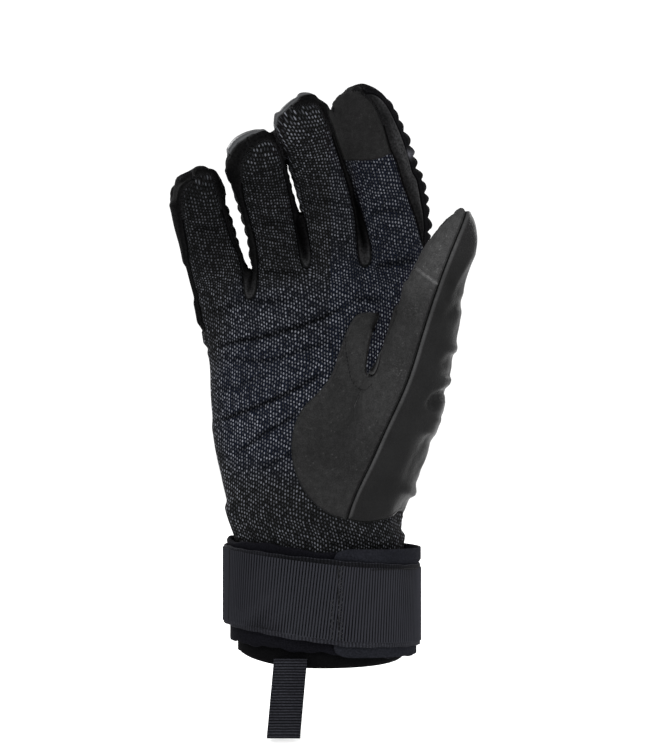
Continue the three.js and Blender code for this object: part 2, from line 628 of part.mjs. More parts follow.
// Sleeve: outer face from the hem up, then the inner face down
const SLEEVE_TOP = CUFF_HEIGHT - SEAM_GAP;
const HEM_HEIGHT = CUFF_HEIGHT * 0.12;
addPart('cuff_sleeve', band(0, 1, () => [
  [-HEM_TAPER - SLEEVE_WALL, 0], [-HEM_TAPER, 0], [-HEM_BEND, HEM_HEIGHT], [0, SLEEVE_TOP],
  [-SLEEVE_WALL, SLEEVE_TOP], [-SLEEVE_WALL, HEM_HEIGHT],
]), NEOPRENE);

// Wrap: its upper lip leans outwards
addPart('wrist_wrap', band(0, 1, (turn) => {
  const [low, high] = [wrapLow(turn), wrapHigh(turn)];
  const [inner, outer] = [wrapInner, wrapInner + WRAP_THICKNESS];
  return [
    [inner, low], [outer, low], [outer, high - WRAP_LIP],
    [outer + LIP_FLARE, high], [inner + LIP_FLARE, high], [inner, high - WRAP_LIP],
  ];
}), NEOPRENE);

// Tab under the strap, from the middle of the palm side round the thumb side to the back; its ends
// are lower, which rounds its corners, and it bends out over the strap's upper edge
const TAB_FROM = 0.77;
const TAB_TO = 1.2;
const TAB_CORNER = 0.03;
const TAB_END_HEIGHT = 0.86;
addPart('strap_tab', band(TAB_FROM, TAB_TO, (turn) => {
  const full = smooth(Math.min(turn - TAB_FROM, TAB_TO - turn), 0, TAB_CORNER);
  const half = (TAB_HEIGHT / 2) * mix(TAB_END_HEIGHT, 1, full);
  const centre = TAB_MIDDLE + strapRise(turn) * 0.3;
  const [low, top] = [centre - half, centre + half];
  const strapTop = STRAP_MIDDLE + strapRise(turn) + strapHeight(turn) / 2;
  const bend = Math.min(strapTop + SEAM_GAP, top - TAB_THICKNESS);
  const flare = strapInner + STRAP_THICKNESS - tabInner - TAB_THICKNESS;
  return [
    [tabInner, low], [tabInner + TAB_THICKNESS, low], [tabInner + TAB_THICKNESS, bend],
    [tabInner + TAB_THICKNESS + flare, top], [tabInner + flare, top], [tabInner, bend],
  ];
}), SOFT_LOOP);

// Strap: once round the wrist from the back, its end lifting over its start
const STRAP_START = 0.18;
const LIFT_FROM = 0.84;
const LIFT_TO = 0.97;
const strapRound = Math.PI * ((WRIST_WIDTH + WRIST_DEPTH) / 2 + 2 * strapInner);
const strapTurns = 1 + STRAP_OVERLAP / strapRound;
addPart('wrist_strap', band(STRAP_START, STRAP_START + strapTurns, (turn) => {
  const lift = (STRAP_THICKNESS + SEAM_GAP) * smooth(turn - STRAP_START, LIFT_FROM, LIFT_TO);
  const centre = STRAP_MIDDLE + strapRise(turn);
  const half = strapHeight(turn) / 2;
  const inner = strapInner + lift;
  return [
    [inner, centre - half], [inner + STRAP_THICKNESS, centre - half],
    [inner + STRAP_THICKNESS, centre + half], [inner, centre + half],
  ];
}), WEBBING);

// Pull loop: a ribbon folded on itself, sewn to the sleeve under the wrap's lower edge
// PULL_ACROSS is its share of WRIST_WIDTH from the middle, PULL_TOP of CUFF_HEIGHT from the hem, and
// PULL_LEAN how far it runs sideways for each millimetre down
const PULL_ACROSS = -0.18;
const PULL_TOP = 0.1;
const PULL_LEAN = 0.09;
const EYE_STEPS = 8;
function pullSolid() {
  const x = PULL_ACROSS * WRIST_WIDTH;
  const top = PULL_TOP * CUFF_HEIGHT;
  const face = -(WRIST_DEPTH / 2) * Math.sqrt(1 - (x / (WRIST_WIDTH / 2)) ** 2) - SEAM_GAP;
  const bottom = top - PULL_LENGTH;
  const outer = PULL_EYE / 2 + PULL_THICKNESS;
  const eye = vector(0, face - outer, bottom + outer);
  const round = (radius) => Array.from({ length: EYE_STEPS + 1 }, (_, i) => {
    const angle = (Math.PI * i) / EYE_STEPS;
    return new THREE.Vector2(eye.y + radius * Math.cos(angle), eye.z - radius * Math.sin(angle));
  });
  const layer = (depth) => new THREE.Vector2(face - depth, top);
  const outline = [
    layer(0), ...round(outer), layer(2 * PULL_THICKNESS + SEAM_GAP),
    layer(PULL_THICKNESS + SEAM_GAP), ...round(PULL_EYE / 2).reverse(), layer(PULL_THICKNESS),
  ];
  const shape = new THREE.Shape(outline);
  const geometry = new THREE.ExtrudeGeometry(shape, { depth: PULL_WIDTH, bevelEnabled: false });
  geometry.applyMatrix4(new THREE.Matrix4().makeBasis(vector(0, 1, 0), vector(0, 0, 1), vector(1, 0, 0)));
  geometry.translate(x - PULL_WIDTH / 2, 0, 0);
  const lean = new THREE.Matrix4().makeShear(0, 0, 0, 0, PULL_LEAN, 0);
  geometry.translate(0, 0, -top).applyMatrix4(lean).translate(0, 0, top);
  return solidOf(geometry);
}
addPart('pull_loop', pullSolid(), WEBBING);

export default parts;
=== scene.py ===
"""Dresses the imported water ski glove: knit, suede, leather and neoprene panels, and the wrapped cuff."""

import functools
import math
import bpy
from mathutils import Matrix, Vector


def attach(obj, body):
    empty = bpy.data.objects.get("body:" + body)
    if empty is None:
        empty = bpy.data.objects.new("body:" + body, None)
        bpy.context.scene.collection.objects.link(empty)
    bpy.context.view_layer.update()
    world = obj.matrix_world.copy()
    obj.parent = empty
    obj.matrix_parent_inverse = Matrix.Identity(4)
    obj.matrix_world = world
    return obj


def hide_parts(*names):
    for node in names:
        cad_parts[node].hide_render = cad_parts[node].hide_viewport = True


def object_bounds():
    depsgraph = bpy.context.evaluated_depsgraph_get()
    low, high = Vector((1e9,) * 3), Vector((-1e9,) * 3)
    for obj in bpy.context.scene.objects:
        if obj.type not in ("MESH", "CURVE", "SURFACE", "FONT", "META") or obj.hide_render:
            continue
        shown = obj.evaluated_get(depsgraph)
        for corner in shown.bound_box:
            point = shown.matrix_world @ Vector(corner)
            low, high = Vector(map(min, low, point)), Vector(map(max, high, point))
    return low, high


bl_info = {
    "name": "Water ski glove",
    "version": (1, 0, 0),
    "blender": (4, 5, 0),
    "location": "3D View > Sidebar > Glove",
    "description": "Builds the sewn panels, the wrist strap and the finishes of a water ski glove",
    "category": "Object",
}

import bpy
import numpy as np
import openvdb
from mathutils import Vector, kdtree
from mathutils.bvhtree import BVHTree

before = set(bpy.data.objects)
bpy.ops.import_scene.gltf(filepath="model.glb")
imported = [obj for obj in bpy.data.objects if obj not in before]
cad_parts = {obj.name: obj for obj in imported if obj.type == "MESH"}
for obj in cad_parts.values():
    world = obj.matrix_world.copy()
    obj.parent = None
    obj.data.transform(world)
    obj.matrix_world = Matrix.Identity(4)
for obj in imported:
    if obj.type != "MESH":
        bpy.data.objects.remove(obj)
CAD_BOX = [list(corner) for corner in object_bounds()]
MM = 0.001
ROOT = "root"

# Sizes in millimetres: name, size, what it is
SIZES = [
    ("palm_width", 92, "Width across the knuckles"),
    ("palm_height", 108, "Height from the cuff to the webs of the fingers"),
    ("palm_depth", 30, "Depth of the palm at the knuckles"),
    ("wall", 1.4, "Thickness of the panels"),
    ("little_length", 70, "Length of the little finger from inside the palm"),
    ("little_width", 23.4, "Width of the little finger"),
    ("ring_length", 84, "Length of the ring finger from inside the palm"),
    ("ring_width", 24.4, "Width of the ring finger"),
    ("middle_length", 96, "Length of the middle finger from inside the palm"),
    ("middle_width", 25.6, "Width of the middle finger"),
    ("index_length", 97.5, "Length of the index finger from inside the palm"),
    ("index_width", 26, "Width of the index finger"),
    ("thumb_length", 117, "Length of the thumb from the heel of the hand"),
    ("thumb_width", 31, "Width of the thumb at its root"),
    ("thumb_depth", 30, "Depth of the thumb at its root"),
    ("flex_pitch", 4.6, "Spacing of the flex ribs on the finger backs"),
    ("flex_height", 0.9, "Height of the flex ribs on the finger backs"),
    ("dot_across", 1.14, "Spacing of the grip dots across the knit"),
    ("dot_up", 1.5, "Spacing of the grip dots along the knit"),
    ("cuff_height", 44, "Height of the cuff"),
    ("wrist_width", 66, "Width of the sleeve"),
    ("wrist_depth", 47, "Depth of the sleeve"),
    ("sleeve_wall", 2.2, "Thickness of the sleeve"),
    ("wrap_thickness", 2.3, "Thickness of the wrap"),
    ("wrap_height", 40, "Height of the wrap"),
    ("tab_thickness", 1, "Thickness of the tab"),
    ("tab_height", 41, "Height of the tab"),
    ("strap_thickness", 1.4, "Thickness of the strap"),
    ("strap_height", 32, "Height of the strap"),
    ("strap_overlap", 40, "Length of the strap's end over its start"),
    ("webbing_pitch", 1.15, "Spacing of the ribs of the webbing"),
    ("pull_width", 12.7, "Width of the pull loop"),
    ("pull_thickness", 1.2, "Thickness of the pull loop's webbing"),
    ("pull_length", 30, "Length of the pull loop"),
    ("pull_eye", 2.4, "Inner width of the pull loop's fold"),
    ("gap", 0.3, "Clearance between the layers of the cuff"),
]

# Colours in linear light: name, colour, what it is
COLOURS = [
    ("knit_ground", (0.0021, 0.0027, 0.0051), "Navy-black ground of the dotted knit"),
    ("knit_dot", (0.165, 0.172, 0.196), "Grip dots of the dotted knit"),
    ("suede", (0.0145, 0.0145, 0.0146), "Charcoal synthetic suede"),
    ("leather", (0.0048, 0.0048, 0.0049), "Smooth synthetic leather"),
    ("neoprene", (0.0021, 0.0021, 0.0024), "Knit face of the neoprene"),
    ("strip", (0.0022, 0.0022, 0.0023), "Stretch strips between the fingers"),
    ("grey_print", (0.034, 0.035, 0.037), "Grey print over the fingertips"),
    ("webbing", (0.0136, 0.0139, 0.0170), "Ribbed webbing"),
    ("tab", (0.0082, 0.0086, 0.0110), "Soft loop fabric of the tab"),
    ("wrap", (0.0034, 0.0034, 0.0046), "Cloth of the wrap"),
    ("thread", (0.0040, 0.0040, 0.0044), "Black sewing thread"),
    # The tacks' thread is black: their lighter colour is a painted highlight on it
    ("overlock", (0.0190, 0.0190, 0.0210), "Lighter thread of the tacks on the strap"),
    ("floor", (0.92, 0.92, 0.92), "Floor"),
]


def size_property(default, description):
    return bpy.props.FloatProperty(
        name=description, description=description, default=default * MM, min=0, unit="LENGTH", precision=5)


def colour_property(default, description):
    return bpy.props.FloatVectorProperty(
        name=description, description=description, default=default, size=3, min=0, max=1, subtype="COLOR")


class GloveSizes(bpy.types.PropertyGroup):
    """Sizes of the glove"""
    __annotations__ = {name: size_property(size, about) for name, size, about in SIZES}


class GloveColours(bpy.types.PropertyGroup):
    """Colours of the glove"""
    __annotations__ = {name: colour_property(colour, about) for name, colour, about in COLOURS}


class Sizes:
    """The sizes that are set in the panel, in millimetres"""

    def __init__(self, scene):
        for name, _, _ in SIZES:
            setattr(self, name, getattr(scene.glove_sizes, name) / MM)


# Plain helpers
def smooth(value, low, high):
    share = np.clip((value - low) / (high - low), 0, 1)
    return share * share * (3 - 2 * share)


def mix(low, high, share):
    return low + (high - low) * share


def hump(value, width):
    return np.exp(-(value / width) ** 2)


def along_table(rows, places):
    """Rows of a table at places along its first column, on a smooth curve through them"""
    rows = np.asarray(rows, float)
    keys = rows[:, 0]
    steps = np.diff(keys)
    slopes = np.diff(rows, axis=0) / steps[:, None]
    middle = (slopes[:-1] * steps[1:, None] + slopes[1:] * steps[:-1, None]) / (steps[1:] + steps[:-1])[:, None]
    slopes = np.vstack([slopes[:1], middle, slopes[-1:]])
    places = np.clip(places, keys[0], keys[-1])
    low = np.clip(np.searchsorted(keys, places, side="right") - 1, 0, len(keys) - 2)
    width = steps[low][:, None]
    t = ((places - keys[low])[:, None]) / width
    return (rows[low] * (1 + 2 * t) * (1 - t) ** 2 + rows[low + 1] * t * t * (3 - 2 * t)
            + slopes[low] * width * t * (1 - t) ** 2 - slopes[low + 1] * width * t * t * (1 - t))


def unit(vectors):
    return vectors / np.maximum(np.linalg.norm(vectors, axis=-1, keepdims=True), 1e-9)


def rounded(corners, closed, times=2):
    """Corner cutting: the same line with its corners rounded off"""
    spots = np.array(corners, float)
    for _ in range(times):
        ahead = np.roll(spots, -1, axis=0) if closed else spots[1:]
        here = spots if closed else spots[:-1]
        cut = np.stack([here * 0.75 + ahead * 0.25, here * 0.25 + ahead * 0.75], 1).reshape(-1, 2)
        spots = cut if closed else np.vstack([spots[:1], cut, spots[-1:]])
    return spots


def lengths_along(line):
    """Length of a line from its start to each of its points"""
    return np.r_[0, np.cumsum(np.linalg.norm(np.diff(line, axis=0), axis=1))]


def line_distance(x, y, spots):
    """Distance to an open line, the side of it, positive on the right going along, and the share along it"""
    best = np.full(len(x), 1e12)
    side = np.zeros(len(x))
    share = np.zeros(len(x))
    lengths = lengths_along(spots)
    for n, ((x0, y0), (x1, y1)) in enumerate(zip(spots[:-1], spots[1:])):
        dx, dy = x1 - x0, y1 - y0
        t = np.clip(((x - x0) * dx + (y - y0) * dy) / max(dx * dx + dy * dy, 1e-12), 0, 1)
        away = (x - x0 - t * dx) ** 2 + (y - y0 - t * dy) ** 2
        nearer = away < best
        best = np.where(nearer, away, best)
        side = np.where(nearer, np.sign(dx * (y - y0) - dy * (x - x0)), side)
        share = np.where(nearer, mix(lengths[n], lengths[n + 1], t) / lengths[-1], share)
    return np.sqrt(best), side, share


def area_distance(x, y, corners):
    """Distance to a closed outline, positive inside it"""
    spots = np.vstack([corners, corners[:1]])
    inside = np.zeros(len(x), bool)
    for (x0, y0), (x1, y1) in zip(spots[:-1], spots[1:]):
        if y0 != y1:
            inside ^= ((y0 > y) != (y1 > y)) & (x < (x1 - x0) * (y - y0) / (y1 - y0) + x0)
    return line_distance(x, y, spots)[0] * np.where(inside, 1, -1)


def from_corners(lattice, base, part):
    """Values of a lattice that repeats, mixed from the eight corners round each place"""
    total = np.zeros(len(base))
    for corner in np.ndindex(2, 2, 2):
        weight = np.prod(np.where(corner, part, 1 - part), axis=1)
        total += weight * lattice[tuple(((base + corner) % lattice.shape).T)]
    return total


def unevenness(points, grain, seed):
    """Smooth random values from -1 to 1, about one hump for each grain"""
    lattice = np.random.default_rng(seed).uniform(-1, 1, (32, 32, 32))
    place = points / grain + 1000
    base = np.floor(place).astype(int)
    part = place - base
    return from_corners(lattice, base, part * part * (3 - 2 * part))


# The front view, which the borders of the panels are drawn in: 650 by 750 places, 0.39 mm apart at the
# glove, seen from 900 mm in front of VIEW_X and VIEW_Z
VIEW_X, VIEW_Z, VIEW_FAR, VIEW_STEP = 1.2, 112.3, 900, 0.39
VIEW_MIDDLE = (325, 375)


def seen(points):
    """Places of points in the front view"""
    nearer = VIEW_FAR / (VIEW_STEP * (VIEW_FAR + points[:, 1]))
    return (VIEW_MIDDLE[0] + (points[:, 0] - VIEW_X) * nearer, VIEW_MIDDLE[1] + (VIEW_Z - points[:, 2]) * nearer)


# Palm: up as a share of the palm's height; across and width of its width; depth and back of its depth;
# tilt in degrees
PALM_ROWS = [
    (-0.08, -0.008, 0.690, 1.50, 0.00, 0), (0.05, -0.012, 0.694, 1.50, 0.00, 0),
    (0.12, -0.032, 0.706, 1.52, 0.00, 0), (0.25, -0.034, 0.770, 1.40, 0.02, 1),
    (0.40, -0.028, 0.855, 1.24, 0.05, 2), (0.55, -0.024, 0.905, 1.10, 0.08, 3),
    (0.70, -0.018, 0.935, 1.00, 0.09, 5), (0.82, -0.020, 0.960, 0.92, 0.08, 8),
    (0.92, -0.028, 0.965, 0.80, 0.07, 11), (1.00, -0.034, 0.930, 0.60, 0.05, 13),
    (1.04, -0.036, 0.860, 0.36, 0.03, 13),
]
# How deep the palm is hollowed, in millimetres
PALM_CUP = 3.5

# Fingers: name, root across and up as shares of the palm's width and height, back of its depth, leans
# and curls at root and tip in degrees
FINGERS = [
    ("little", -0.390, 0.77, 0.08, (-12, -14), (4, 48)),
    ("ring", -0.150, 0.80, 0.10, (-8, -22), (0, 58)),
    ("middle", 0.077, 0.80, 0.10, (-3, -42), (0, 50)),
    ("index", 0.345, 0.80, 0.08, (-5, -41), (0, 34)),
]
INDEX = 3
# Width of a finger along its length, as shares; its depth is FLATNESS of its width
FINGER_ROWS = [(0.00, 0.92), (0.45, 1.00), (0.75, 0.99), (1.00, 0.95)]
FLATNESS = 0.84
SPINE_STEPS = 96

# Thumb: up, across and forward as shares of its length from the root; width and depth of its own
THUMB_ROOT = (0.152, 0.27, 0.12)
THUMB_ROWS = [
    (0.000, 0.000, 0.000, 0.96, 1.00), (0.137, 0.060, 0.034, 0.99, 1.00),
    (0.282, 0.111, 0.090, 1.02, 0.93), (0.406, 0.148, 0.137, 0.99, 0.83),
    (0.547, 0.198, 0.184, 0.84, 0.76), (0.684, 0.234, 0.235, 0.72, 0.69),
    (0.769, 0.250, 0.265, 0.64, 0.64), (0.838, 0.276, 0.286, 0.59, 0.58),
    (0.897, 0.305, 0.303, 0.53, 0.50), (0.949, 0.318, 0.316, 0.38, 0.36),
    (0.983, 0.323, 0.325, 0.20, 0.20), (0.998, 0.324, 0.327, 0.05, 0.05),
]

# How square the sections are; 2 is an oval
PALM_POWER, FINGER_POWER, THUMB_POWER, GAP_POWER = 2.2, 2.15, 2.1, 8
# Reach of the soft fillets: between fingers, fingers and palm, in the gaps, and of the thumb below and above
# THUMB_FREE, the heights between which it comes free of the palm
FINGER_FILLET, PALM_FILLET, GAP_FILLET, THUMB_FILLETS = 1.5, 5, 1.0, (13, 1.5)
THUMB_FREE = (116, 146)

# Borders in the front view
KNIT_EDGE = [
    (120, 600), (120, 340), (196, 334), (202, 332), (201, 322), (199.5, 310), (196, 298), (191, 284), (188, 268),
    (187, 250), (185, 238), (182, 220), (181, 200), (183, 189), (189, 181), (198, 174), (206, 171), (213, 174),
    (216.5, 183), (219.5, 197), (226, 218), (233, 236), (239.5, 254), (243.5, 270), (244, 284), (244, 292),
    (246, 299), (250, 300), (254, 297), (256.5, 288), (257.5, 272), (257, 255), (254, 237), (248, 217), (243, 200),
    (241, 180), (241, 163), (249, 150), (260, 141.5), (270, 139), (278, 146), (284.5, 170), (290, 195), (295.5, 220), (300, 245),
    (301.5, 258), (304, 267), (308, 268), (310.5, 262), (309.5, 250), (307, 236), (302, 213), (295, 190), (288, 164),
    (281, 148), (275, 132), (274, 121), (285, 112), (298, 105.5), (311, 102.5), (320, 104), (325, 113), (335, 143),
    (342.5, 165), (349, 185), (353.5, 205), (357, 225), (358.5, 245), (359, 258), (362, 266), (367, 267), (371, 261),
    (370, 250), (366, 231), (360, 207), (354.5, 186), (349, 170), (345, 160), (338, 140), (332, 120), (329, 106),
    (332, 95), (341, 88.5), (354, 89), (366, 95), (376, 106), (383, 122), (388, 140), (391, 152), (397, 161),
    (401, 176), (406, 191), (412, 206), (418, 226), (424, 246), (430, 257), (450, 275), (540, 300), (540, 600),
]
TIP_PATCH_LINE = [(320, 160), (347, 160.5), (365, 161), (380, 159), (391, 153), (420, 140)]
THUMB_EDGE = [
    (352, 521), (338, 518), (325, 512), (313, 503), (303, 490), (296, 475), (292, 460), (291, 445), (293, 430),
    (298, 415), (305, 405), (315, 396), (325, 385), (333, 372), (339, 352), (344, 338), (351, 322), (358, 313),
    (376, 312), (380, 316), (376, 324), (372, 335), (369, 348), (367, 362), (366, 371), (369, 376), (374, 376),
    (378, 368), (381, 353), (384, 341), (388, 330), (391, 318), (394, 308), (397, 298), (401, 288), (407, 276),
    (413, 266), (420, 256), (480, 180), (540, 180), (540, 505), (405, 512), (396, 517), (380, 521), (365, 523),
]
THUMB_SEAM = [
    (341, 540), (347, 518), (350, 508), (355, 495), (362, 480), (369.5, 465), (377, 448), (384.5, 431), (392, 415),
    (399.5, 399), (407.5, 380), (413.5, 362), (419, 343), (425.5, 322), (431.5, 303), (437, 287), (443, 270),
    (450, 252), (457, 235), (463, 220), (467, 206), (472, 190),
]
CROSS_SEAM = [(380, 245), (411, 266), (417, 269), (428, 277), (438, 284), (470, 306)]

# Folds in the front view: depth and half width in millimetres, line; they press into the cloth and also set where
# painted shade darkens it
FOLDS = [
    (0.90, 1.1, [(212, 348), (238, 341), (262, 337), (288, 330), (317, 320), (336, 311), (350, 302)]),
    (0.60, 1.0, [(214, 361), (240, 358), (264, 362), (286, 355), (307, 348), (326, 343), (338, 336)]),
    (0.90, 1.1, [(208, 424), (222, 419), (250, 409), (282, 396), (316, 377), (328, 369)]),
    (0.75, 1.0, [(232, 456), (246, 446), (263, 433), (280, 424), (296, 414), (304, 408)]),
    (0.50, 1.0, [(258, 471), (268, 465), (287, 455), (296, 449)]),
    (0.40, 1.0, [(212, 392), (232, 388), (256, 378), (274, 372)]),
    (0.70, 1.5, [(371, 268), (388, 264), (405, 262), (418, 257)]),
    (0.55, 1.4, [(206, 312), (222, 309), (240, 303), (262, 301), (300, 300)]),
    (0.60, 1.5, [(258, 272), (285, 272), (306, 276)]),
    (0.45, 1.3, [(243, 178), (252, 186), (260, 193)]),
    (0.55, 1.6, [(352, 300), (366, 299), (384, 300)]),
    (0.45, 1.3, [(192, 232), (206, 228), (222, 231)]),
    (0.45, 1.5, [(300, 205), (325, 200), (346, 206)]),
    (0.45, 1.5, [(256, 226), (275, 222), (292, 226)]),
    (0.40, 1.5, [(368, 214), (390, 208), (408, 212)]),
    (2.30, 1.9, [(472, 384), (448, 391), (438, 396), (431, 404), (427, 412)]),
    (1.00, 2.4, [(476, 352), (456, 356), (445, 362), (438, 368)]),
    (0.60, 2.4, [(456, 428), (440, 434), (428, 442), (420, 452)]),
    (0.80, 2.2, [(478, 300), (460, 304), (450, 311), (444, 322)]),
    (1.30, 0.9, [(379, 311), (377, 317), (374, 326), (372, 334)]),
    (0.55, 1.4, [(452, 278), (448, 292), (446, 304)]),
    (0.12, 1.3, [(345, 330), (348, 352), (351, 372), (356, 388), (364, 391), (371, 384)]),
]
# Ridges, in the same way
RIDGES = [
    (0.90, 1.6, [(474, 248), (464, 268), (453, 286), (446, 304)]),
    (0.90, 1.6, [(224, 168), (227, 176), (229, 184)]),
    (0.60, 2.4, [(446, 397), (440, 412), (433, 424)]),
    (0.40, 2.4, [(434, 440), (424, 462), (413, 486), (402, 503)]),
    (0.35, 3.0, [(452, 340), (444, 366), (436, 384)]),
]

# Open gaps between the fingers in the front view: place and half width
GAPS = [
    [(250.5, 269, 0.8), (248, 257, 2.4), (243.5, 240, 3.8), (236, 216, 4.6), (229, 196, 4.2)],
    [(286, 162, 1.4), (290.5, 178, 2.0), (296, 198, 2.0), (301, 213, 1.6)],
]
# Pleats at the lower ends of the strips between the fingers, like the folds: they press into the cloth and are
# darkened with painted shade
PLEATS = [
    (0.9, 0.7, [(354, 188), (358, 207), (361, 224), (364, 240), (366.5, 256)]),
    (0.9, 0.7, [(297, 215), (301, 232), (304, 248), (306.5, 264)]),
    (0.9, 0.7, [(250, 262), (251, 274), (250, 284), (248, 294)]),
]

# Places where the outline goes in or, negative, out: depth and half width in millimetres, line
PRESSES = [
    (2.1, 3.6, [(166, 206), (168, 192), (173, 180), (184, 173), (198, 168)]),
    (1.3, 3.2, [(216, 172), (222, 184), (231, 212), (238, 238), (243, 256)]),
    (1.9, 3.6, [(222, 170), (225, 156), (230, 143), (240, 133), (254, 126), (268, 123), (280, 124)]),
    (-0.7, 2.6, [(262, 136), (266, 126), (270, 116), (276, 108)]),
    (1.2, 3.0, [(272, 112), (278, 104), (288, 98), (300, 94)]),
    (1.0, 2.0, [(316, 92), (323, 101), (327, 113), (330, 126)]),
    (-1.7, 3.4, [(417, 168), (422, 186), (428, 210), (432, 240)]),
    (1.1, 3.0, [(430, 242), (438, 228), (446, 216), (456, 208)]),
    (-1.6, 3.0, [(392, 312), (397, 302), (403, 290), (408, 278)]),
    (0.6, 3.0, [(464, 292), (461, 310), (459, 330), (456, 350)]),
    (1.0, 3.4, [(456, 352), (452, 366), (450, 380)]),
    (0.6, 3.0, [(446, 396), (443, 408), (438, 420)]),
    (1.8, 4.5, [(434, 432), (426, 452), (419, 472), (411, 492)]),
    (2.2, 3.4, [(414, 494), (407, 508), (403, 520), (404, 536)]),
    (0.9, 3.6, [(181, 262), (186, 276), (191, 292), (195, 304)]),
    (1.2, 3.2, [(197, 322), (202, 338), (207, 354)]),
    (0.8, 4.0, [(205, 346), (208, 372), (210, 398), (213, 430)]),
    (-1.5, 4.0, [(224, 500), (229, 516), (232, 532), (233, 548)]),
]

# The box of voxels that the skin is made in, in millimetres, and how many voxels off a skin distances reach
VOXEL = 0.8
BAND = 14
LOW_CORNER = np.array([-66.0, -58.0, 34.0])
HIGH_CORNER = np.array([70.0, 38.0, 230.0])
ORIGIN = np.floor(LOW_CORNER / VOXEL).astype(int)
SHAPE = tuple(np.ceil((HIGH_CORNER - LOW_CORNER) / VOXEL).astype(int))


def oval(angle, power):
    """Places round a section whose half width and half depth are 1"""
    return (np.sign(np.cos(angle)) * np.abs(np.cos(angle)) ** (2 / power),
            np.sign(np.sin(angle)) * np.abs(np.sin(angle)) ** (2 / power))


def oval_rings(line, power, corners=72):
    """Rings of points round a line"""
    across, forward = oval(np.arange(corners) * 2 * math.pi / corners, power)
    return (line["centre"][:, None] + line["side"][:, None] * (line["half_width"][:, None] * across)[..., None]
            - line["front"][:, None] * (line["half_depth"][:, None] * forward)[..., None])


def palm_line(s, up):
    """Middle, directions and half sizes of the palm at shares of its height"""
    rows = along_table(PALM_ROWS, up)
    tilt = np.radians(rows[:, 5])
    zero = np.zeros(len(rows))
    return {
        "centre": np.stack([rows[:, 1] * s.palm_width, rows[:, 4] * s.palm_depth,
                            s.cuff_height + rows[:, 0] * s.palm_height], 1),
        "side": np.stack([np.cos(tilt), zero, np.sin(tilt)], 1),
        "front": np.stack([zero, zero - 1, zero], 1),
        "half_width": rows[:, 2] * s.palm_width / 2,
        "half_depth": rows[:, 3] * s.palm_depth / 2,
    }


def palm_rings(s):
    """Rings of points round the palm, hollowed in front"""
    line = palm_line(s, np.linspace(PALM_ROWS[0][0], PALM_ROWS[-1][0], 60))
    rings = oval_rings(line, PALM_POWER, 120)
    facing = smooth((line["centre"][:, None, 1] - rings[..., 1]) / line["half_depth"][:, None], 0.2, 0.8)
    across = rings[..., 0] / (s.palm_width / 2)
    up = (rings[..., 2] - s.cuff_height) / s.palm_height
    hollow = np.clip(1 - across ** 2, 0, 1) ** 2 * smooth(up, 0.15, 0.5) * (1 - smooth(up, 0.75, 1))
    rings[..., 1] += facing * PALM_CUP * hollow
    return rings


def finger_line(s, finger):
    """Middle, directions and half sizes along a finger; its webs are how far along it the palm ends"""
    name, across, up, back, leans, curls = finger
    length, width = getattr(s, name + "_length"), getattr(s, name + "_width")
    share = np.linspace(0, 1, SPINE_STEPS + 1)
    lean = np.radians(mix(leans[0], leans[1], share ** 2.5))
    curl = np.radians(mix(curls[0], curls[1], share ** 1.3))
    ahead = np.stack([np.sin(lean) * np.cos(curl), -np.sin(curl), np.cos(lean) * np.cos(curl)], 1)
    side = np.stack([np.cos(lean), np.zeros(len(lean)), -np.sin(lean)], 1)
    root = np.array([across * s.palm_width, back * s.palm_depth, s.cuff_height + up * s.palm_height])
    centre = root + np.vstack([np.zeros(3), np.cumsum(ahead[:-1], 0)]) * length / SPINE_STEPS
    past = np.clip(1 - (1 - share) * length / (width / 2), 0, 1)
    half = np.interp(share, *np.transpose(FINGER_ROWS)) * width * (1 - past ** 2.5) ** (1 / 2.5) / 2
    return {"name": name, "centre": centre, "side": side, "front": np.cross(side, ahead), "ahead": ahead,
            "half_width": np.maximum(half, 0.3), "half_depth": np.maximum(half * FLATNESS, 0.3),
            "along": share * length, "length": length, "width": width, "webs": s.palm_height * (1 - up)}


def thumb_line(s):
    """Middle, directions and half sizes along the thumb"""
    rows = along_table(THUMB_ROWS, np.linspace(0, THUMB_ROWS[-1][0], 80))
    centre = np.stack([THUMB_ROOT[0] * s.palm_width + rows[:, 1] * s.thumb_length,
                       -THUMB_ROOT[1] * s.palm_depth - rows[:, 2] * s.thumb_length,
                       s.cuff_height + THUMB_ROOT[2] * s.palm_height + rows[:, 0] * s.thumb_length], 1)
    ahead = unit(np.gradient(centre, axis=0))
    for _ in range(6):
        ahead[1:-1] = unit(ahead[:-2] + ahead[1:-1] + ahead[2:])
    side = unit(np.array([1.0, 0, 0]) - ahead * ahead[:, :1])
    return {"centre": centre, "side": side, "front": np.cross(side, ahead), "ahead": ahead,
            "half_width": rows[:, 3] * s.thumb_width / 2, "half_depth": rows[:, 4] * s.thumb_depth / 2,
            "along": lengths_along(centre)}


def volume(rings):
    """Distances to a closed skin over rings, positive outside, in a box of voxels"""
    count, sides = rings.shape[:2]
    points = np.vstack([rings.reshape(-1, 3), rings[0].mean(0), rings[-1].mean(0)])
    here = np.arange(sides)
    after = (here + 1) % sides
    low = np.arange(count - 1)[:, None] * sides
    quads = np.stack([low + here, low + after, low + sides + after, low + sides + here], -1).reshape(-1, 4)
    end = (count - 1) * sides
    first = np.stack([np.full(sides, count * sides), after, here], 1)
    last = np.stack([np.full(sides, count * sides + 1), end + here, end + after], 1)
    grid = openvdb.FloatGrid.createLevelSetFromPolygons(
        points.astype(np.float32), triangles=np.vstack([first, last]).astype(np.uint32),
        quads=quads.astype(np.uint32), transform=openvdb.createLinearTransform(VOXEL), halfWidth=BAND)
    values = np.empty(SHAPE, np.float32)
    grid.copyToArray(values, ijk=tuple(int(v) for v in ORIGIN))
    return values


def sampled(values, points):
    """Values of the voxels at points"""
    place = np.clip(points / VOXEL - ORIGIN, 0, np.array(values.shape) - 1.001)
    base = place.astype(int)
    return from_corners(values, base, place - base)


